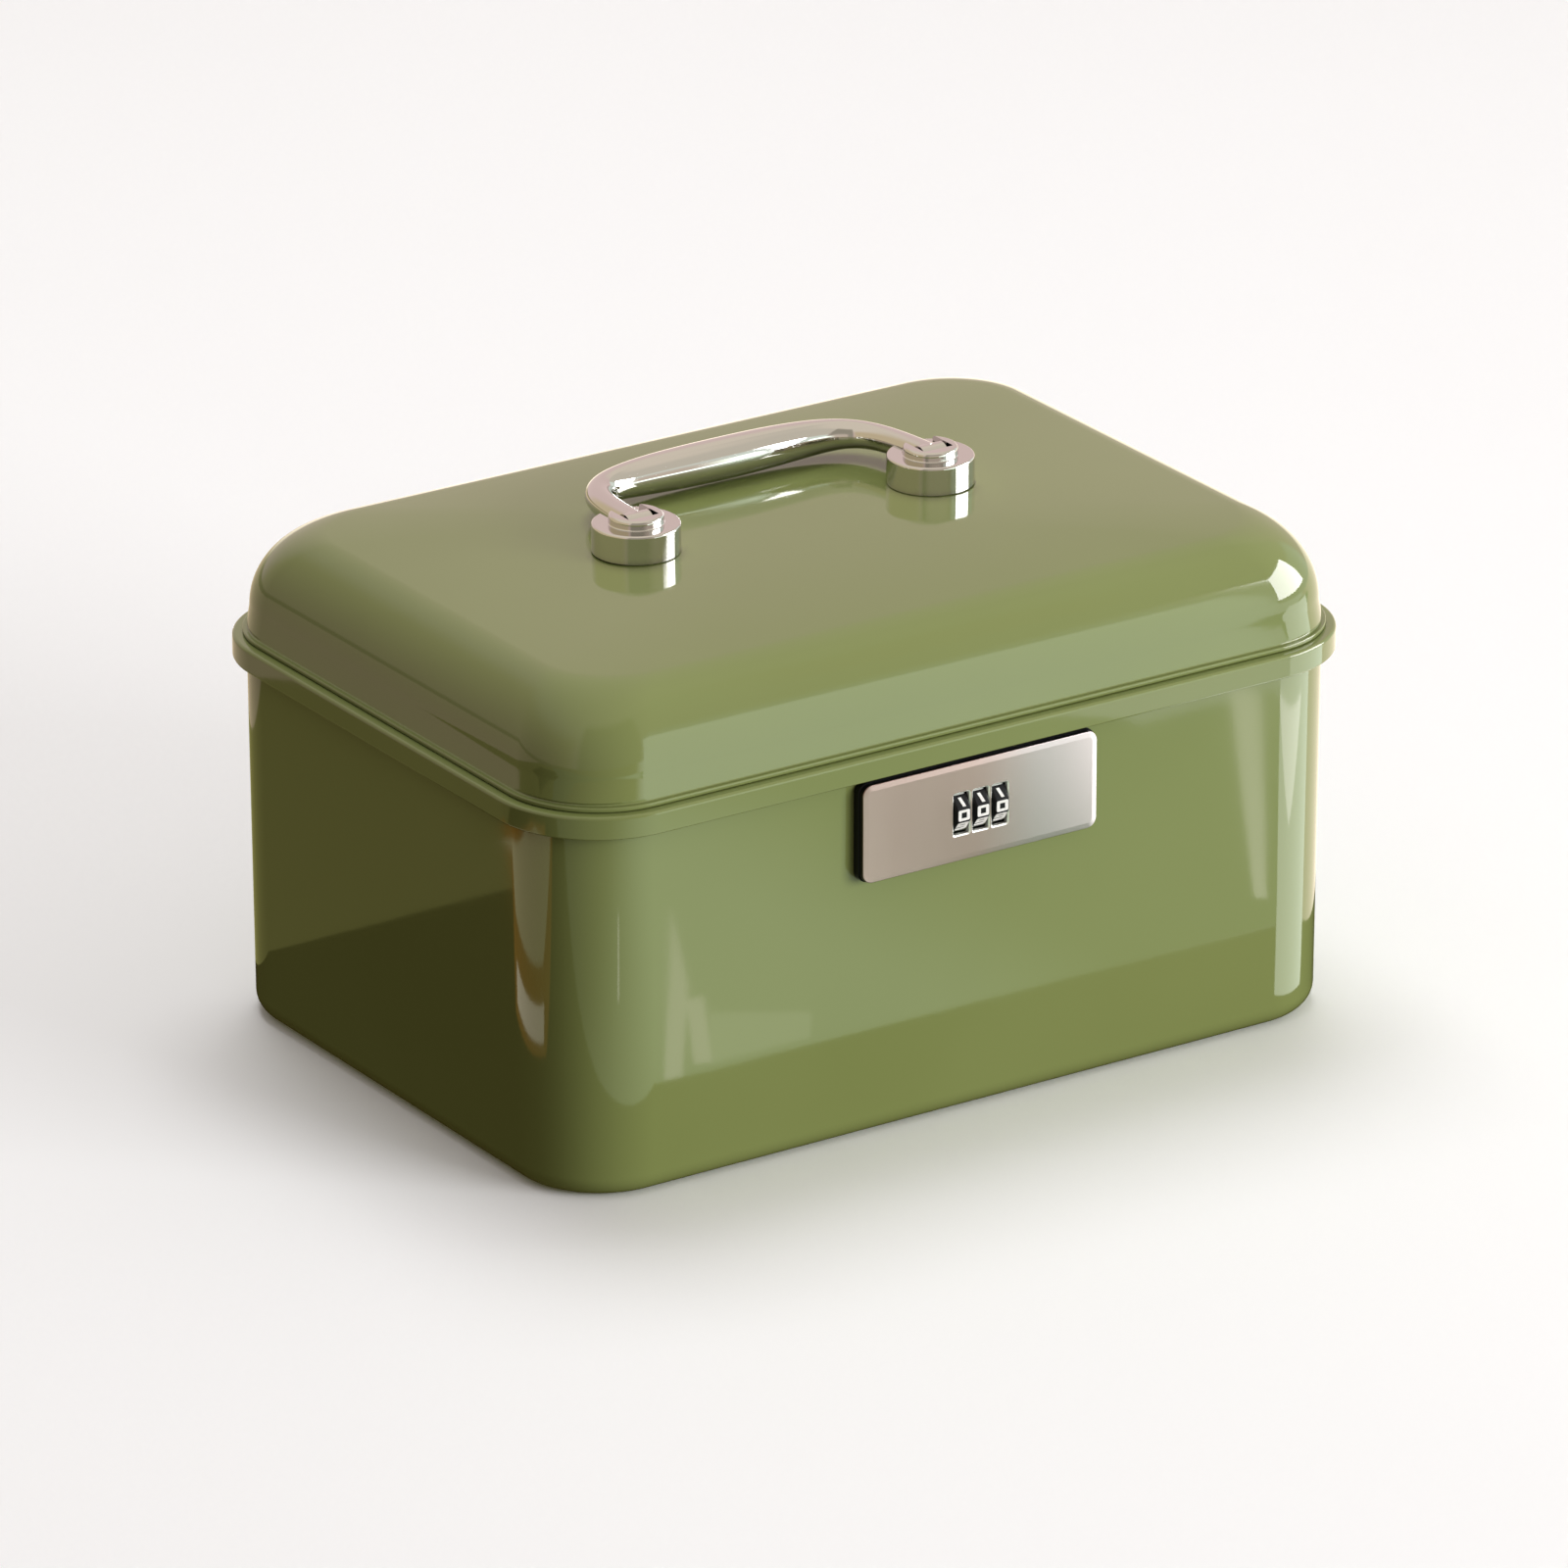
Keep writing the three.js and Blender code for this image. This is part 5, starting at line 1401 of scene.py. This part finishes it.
def front_cards():
    """Bright ground in front with streaks and a glow, a screen past it and a warm card over the lock."""
    ground_card("bright_ground", 6, [(-1600, -165), (-1600, -620), (1600, -620), (1600, -155)],
                (0.35, 0.40, 0.25), (-250, 0, (1.25, 1.55, 1.25)), (30, 110, (0.65, 0.85, 0.60)))
    for corners in ([(10, -254), (-57, -154), (-51, -154), (-16, -205)],
                    [(-149, -280), (-140, -222), (-134, -222), (-143, -280)],
                    [(-22, -197), (-44, -159), (-39, -158), (-16, -197)]):
        ground_card("front_streak", 2, corners, (3.0, 3.0, 2.7))
    ground_card("front_glow", 3, [(-39, -159), (-6, -159), (4, -173), (-20, -188)], (1.9, 2.2, 1.8))
    upright_card("front_screen", -420, (44, 320), (0, 275), (2.3, 2.65, 2.35))
    upright_card("warm_card", -100, (-65, 95), (152, 225), (0.80, 0.68, 0.57),
                 soft_ends=(-65, 95, 225, 45))


def right_cards():
    """Bright ground to the right with a streak, a panel and a glare, and the brightest card far off."""
    ground_card("right_streak", 2, [(241, -307), (153, -171), (156, -169), (245, -296)],
                (3.6, 3.6, 3.2))
    ground_card("right_panel", 2, [(118, -112), (166, -172), (250, -290), (420, -500), (900, -800),
                                   (1300, -300), (420, -110), (140, -92)], (3.6, 3.9, 3.6))
    ground_card("right_glare", 1.5, [(249, -293), (344, -168), (223, -176)], (6.5, 6.6, 6.4))
    ground_card("right_ground", 5, [(205, -302), (180, -420), (1600, -420), (1600, -302)],
                (2.0, 2.2, 2.0))
    far_card("right_far_card", (103, -88, 130), [(37.5, 26), (84, 32), (86, 5), (35, 2)],
             (14, 14, 14))


def azimuth_of(graph, x, y):
    """The azimuth in degrees of a direction."""
    return graph.math("ARCTAN2", x, y * -1) * math.degrees(1)


def sector(turn, start, end, soft):
    """1 inside a stretch of azimuths, 0 outside it, with soft ends."""
    return turn.step(start - soft, start + soft) * (1 - turn.step(end - soft, end + soft))


def mirrored_studio(graph, turn, z):
    """What gloss mirrors by direction: beige behind and above, dim front left, bright front right."""
    upper = (0.95, 0.85, 0.71)
    back = graph.blend(z.step(0.45, 0.75), (0.90, 0.71, 0.67), upper)
    left = graph.blend(z.step(0.5, 0.8), (0.78, 0.65, 0.43), upper)
    front_left = graph.blend(z.step(0.80, 0.92), (0.45, 0.41, 0.33), upper)
    front_high = graph.blend(z.step(0.78, 0.90), (0.80, 0.74, 0.62), upper)
    front = graph.blend(z.step(0.36, 0.46), (1.0, 1.1, 1.0), front_high)
    above = graph.blend(sector(turn, -168, -62, soft=10), back, left)
    above = graph.blend(sector(turn, -56, 22, soft=5), above, front_left)
    above = graph.blend(sector(turn, 22, 112, soft=3), above, front)
    under = graph.blend(sector(turn, 75, 165, soft=15), (0.40, 0.35, 0.20), (1.9, 1.65, 1.35))
    under = graph.blend(sector(turn, 18, 75, soft=6), under, (2.0, 2.2, 2.0))
    return graph.blend(z.step(-0.03, 0.0), under, above)


def soft_studio(graph, turn, z):
    """The soft light from all round: pale above, brown and dim low on the left."""
    low = graph.blend(sector(turn, -160, -40, soft=25), (0.42, 0.39, 0.34), (0.10, 0.060, 0.014))
    return graph.blend(z.step(0.20, 0.90), low, (0.56, 0.52, 0.50))


def world():
    scene = bpy.context.scene
    scene.world = bpy.data.worlds.new("studio")
    scene.world.use_nodes = True
    graph = Graph(scene.world.node_tree)
    graph.tree.nodes.clear()
    x, y, z = graph.parts(graph.place("Generated"))
    turn = azimuth_of(graph, x, y)
    glossy = graph.value("ShaderNodeLightPath", {}, {}, "Is Glossy Ray")
    colour = graph.blend(glossy, soft_studio(graph, turn, z), mirrored_studio(graph, turn, z))
    shader = graph.node("ShaderNodeBackground", {}, {"Color": colour, "Strength": 1.0})
    graph.show(shader.outputs[0], "ShaderNodeOutputWorld")
    scene.view_settings.view_transform = "Standard"


def studio():
    """A pale floor, two soft lights, the cards and the light from all round."""
    floor = add(bpy.ops.mesh.primitive_plane_add, "floor", size=FLOOR_SIZE)
    material, graph, shader = new_material("floor")
    cloud = graph.noise(scale=3, detail=2)
    connect(graph, shader, Base_Color=graph.blend(cloud, FLOOR_COLOUR, FLOOR_PALE))
    preset(shader, Roughness=FLOOR_ROUGHNESS)
    floor.data.materials.append(material)
    floor.visible_glossy = False
    floor.visible_diffuse = False
    soft_light("front_light", azimuth=28, elevation=11, distance=2.4, size=(1.4, 1.2), power=55)
    soft_light("top_light", azimuth=160, elevation=70, distance=2.2, size=(1.2, 1.2), power=24)
    left_cards()
    front_cards()
    right_cards()
    world()


camera()
body_shell()
lid_shell()
carry_handle()
handle_cups()
lock_plate()
lock_backing()
digit_wheels()
hinges()
row_of(rivet, "body_rivet", "wall_rivet", "body")
row_of(rivet, "lid_rivet", "leaf_rivet", "lid")
row_of(lock_screw, "lock_screw", "cover_screw", "body")
nuts_and_washers()
lock_inside()
studio()
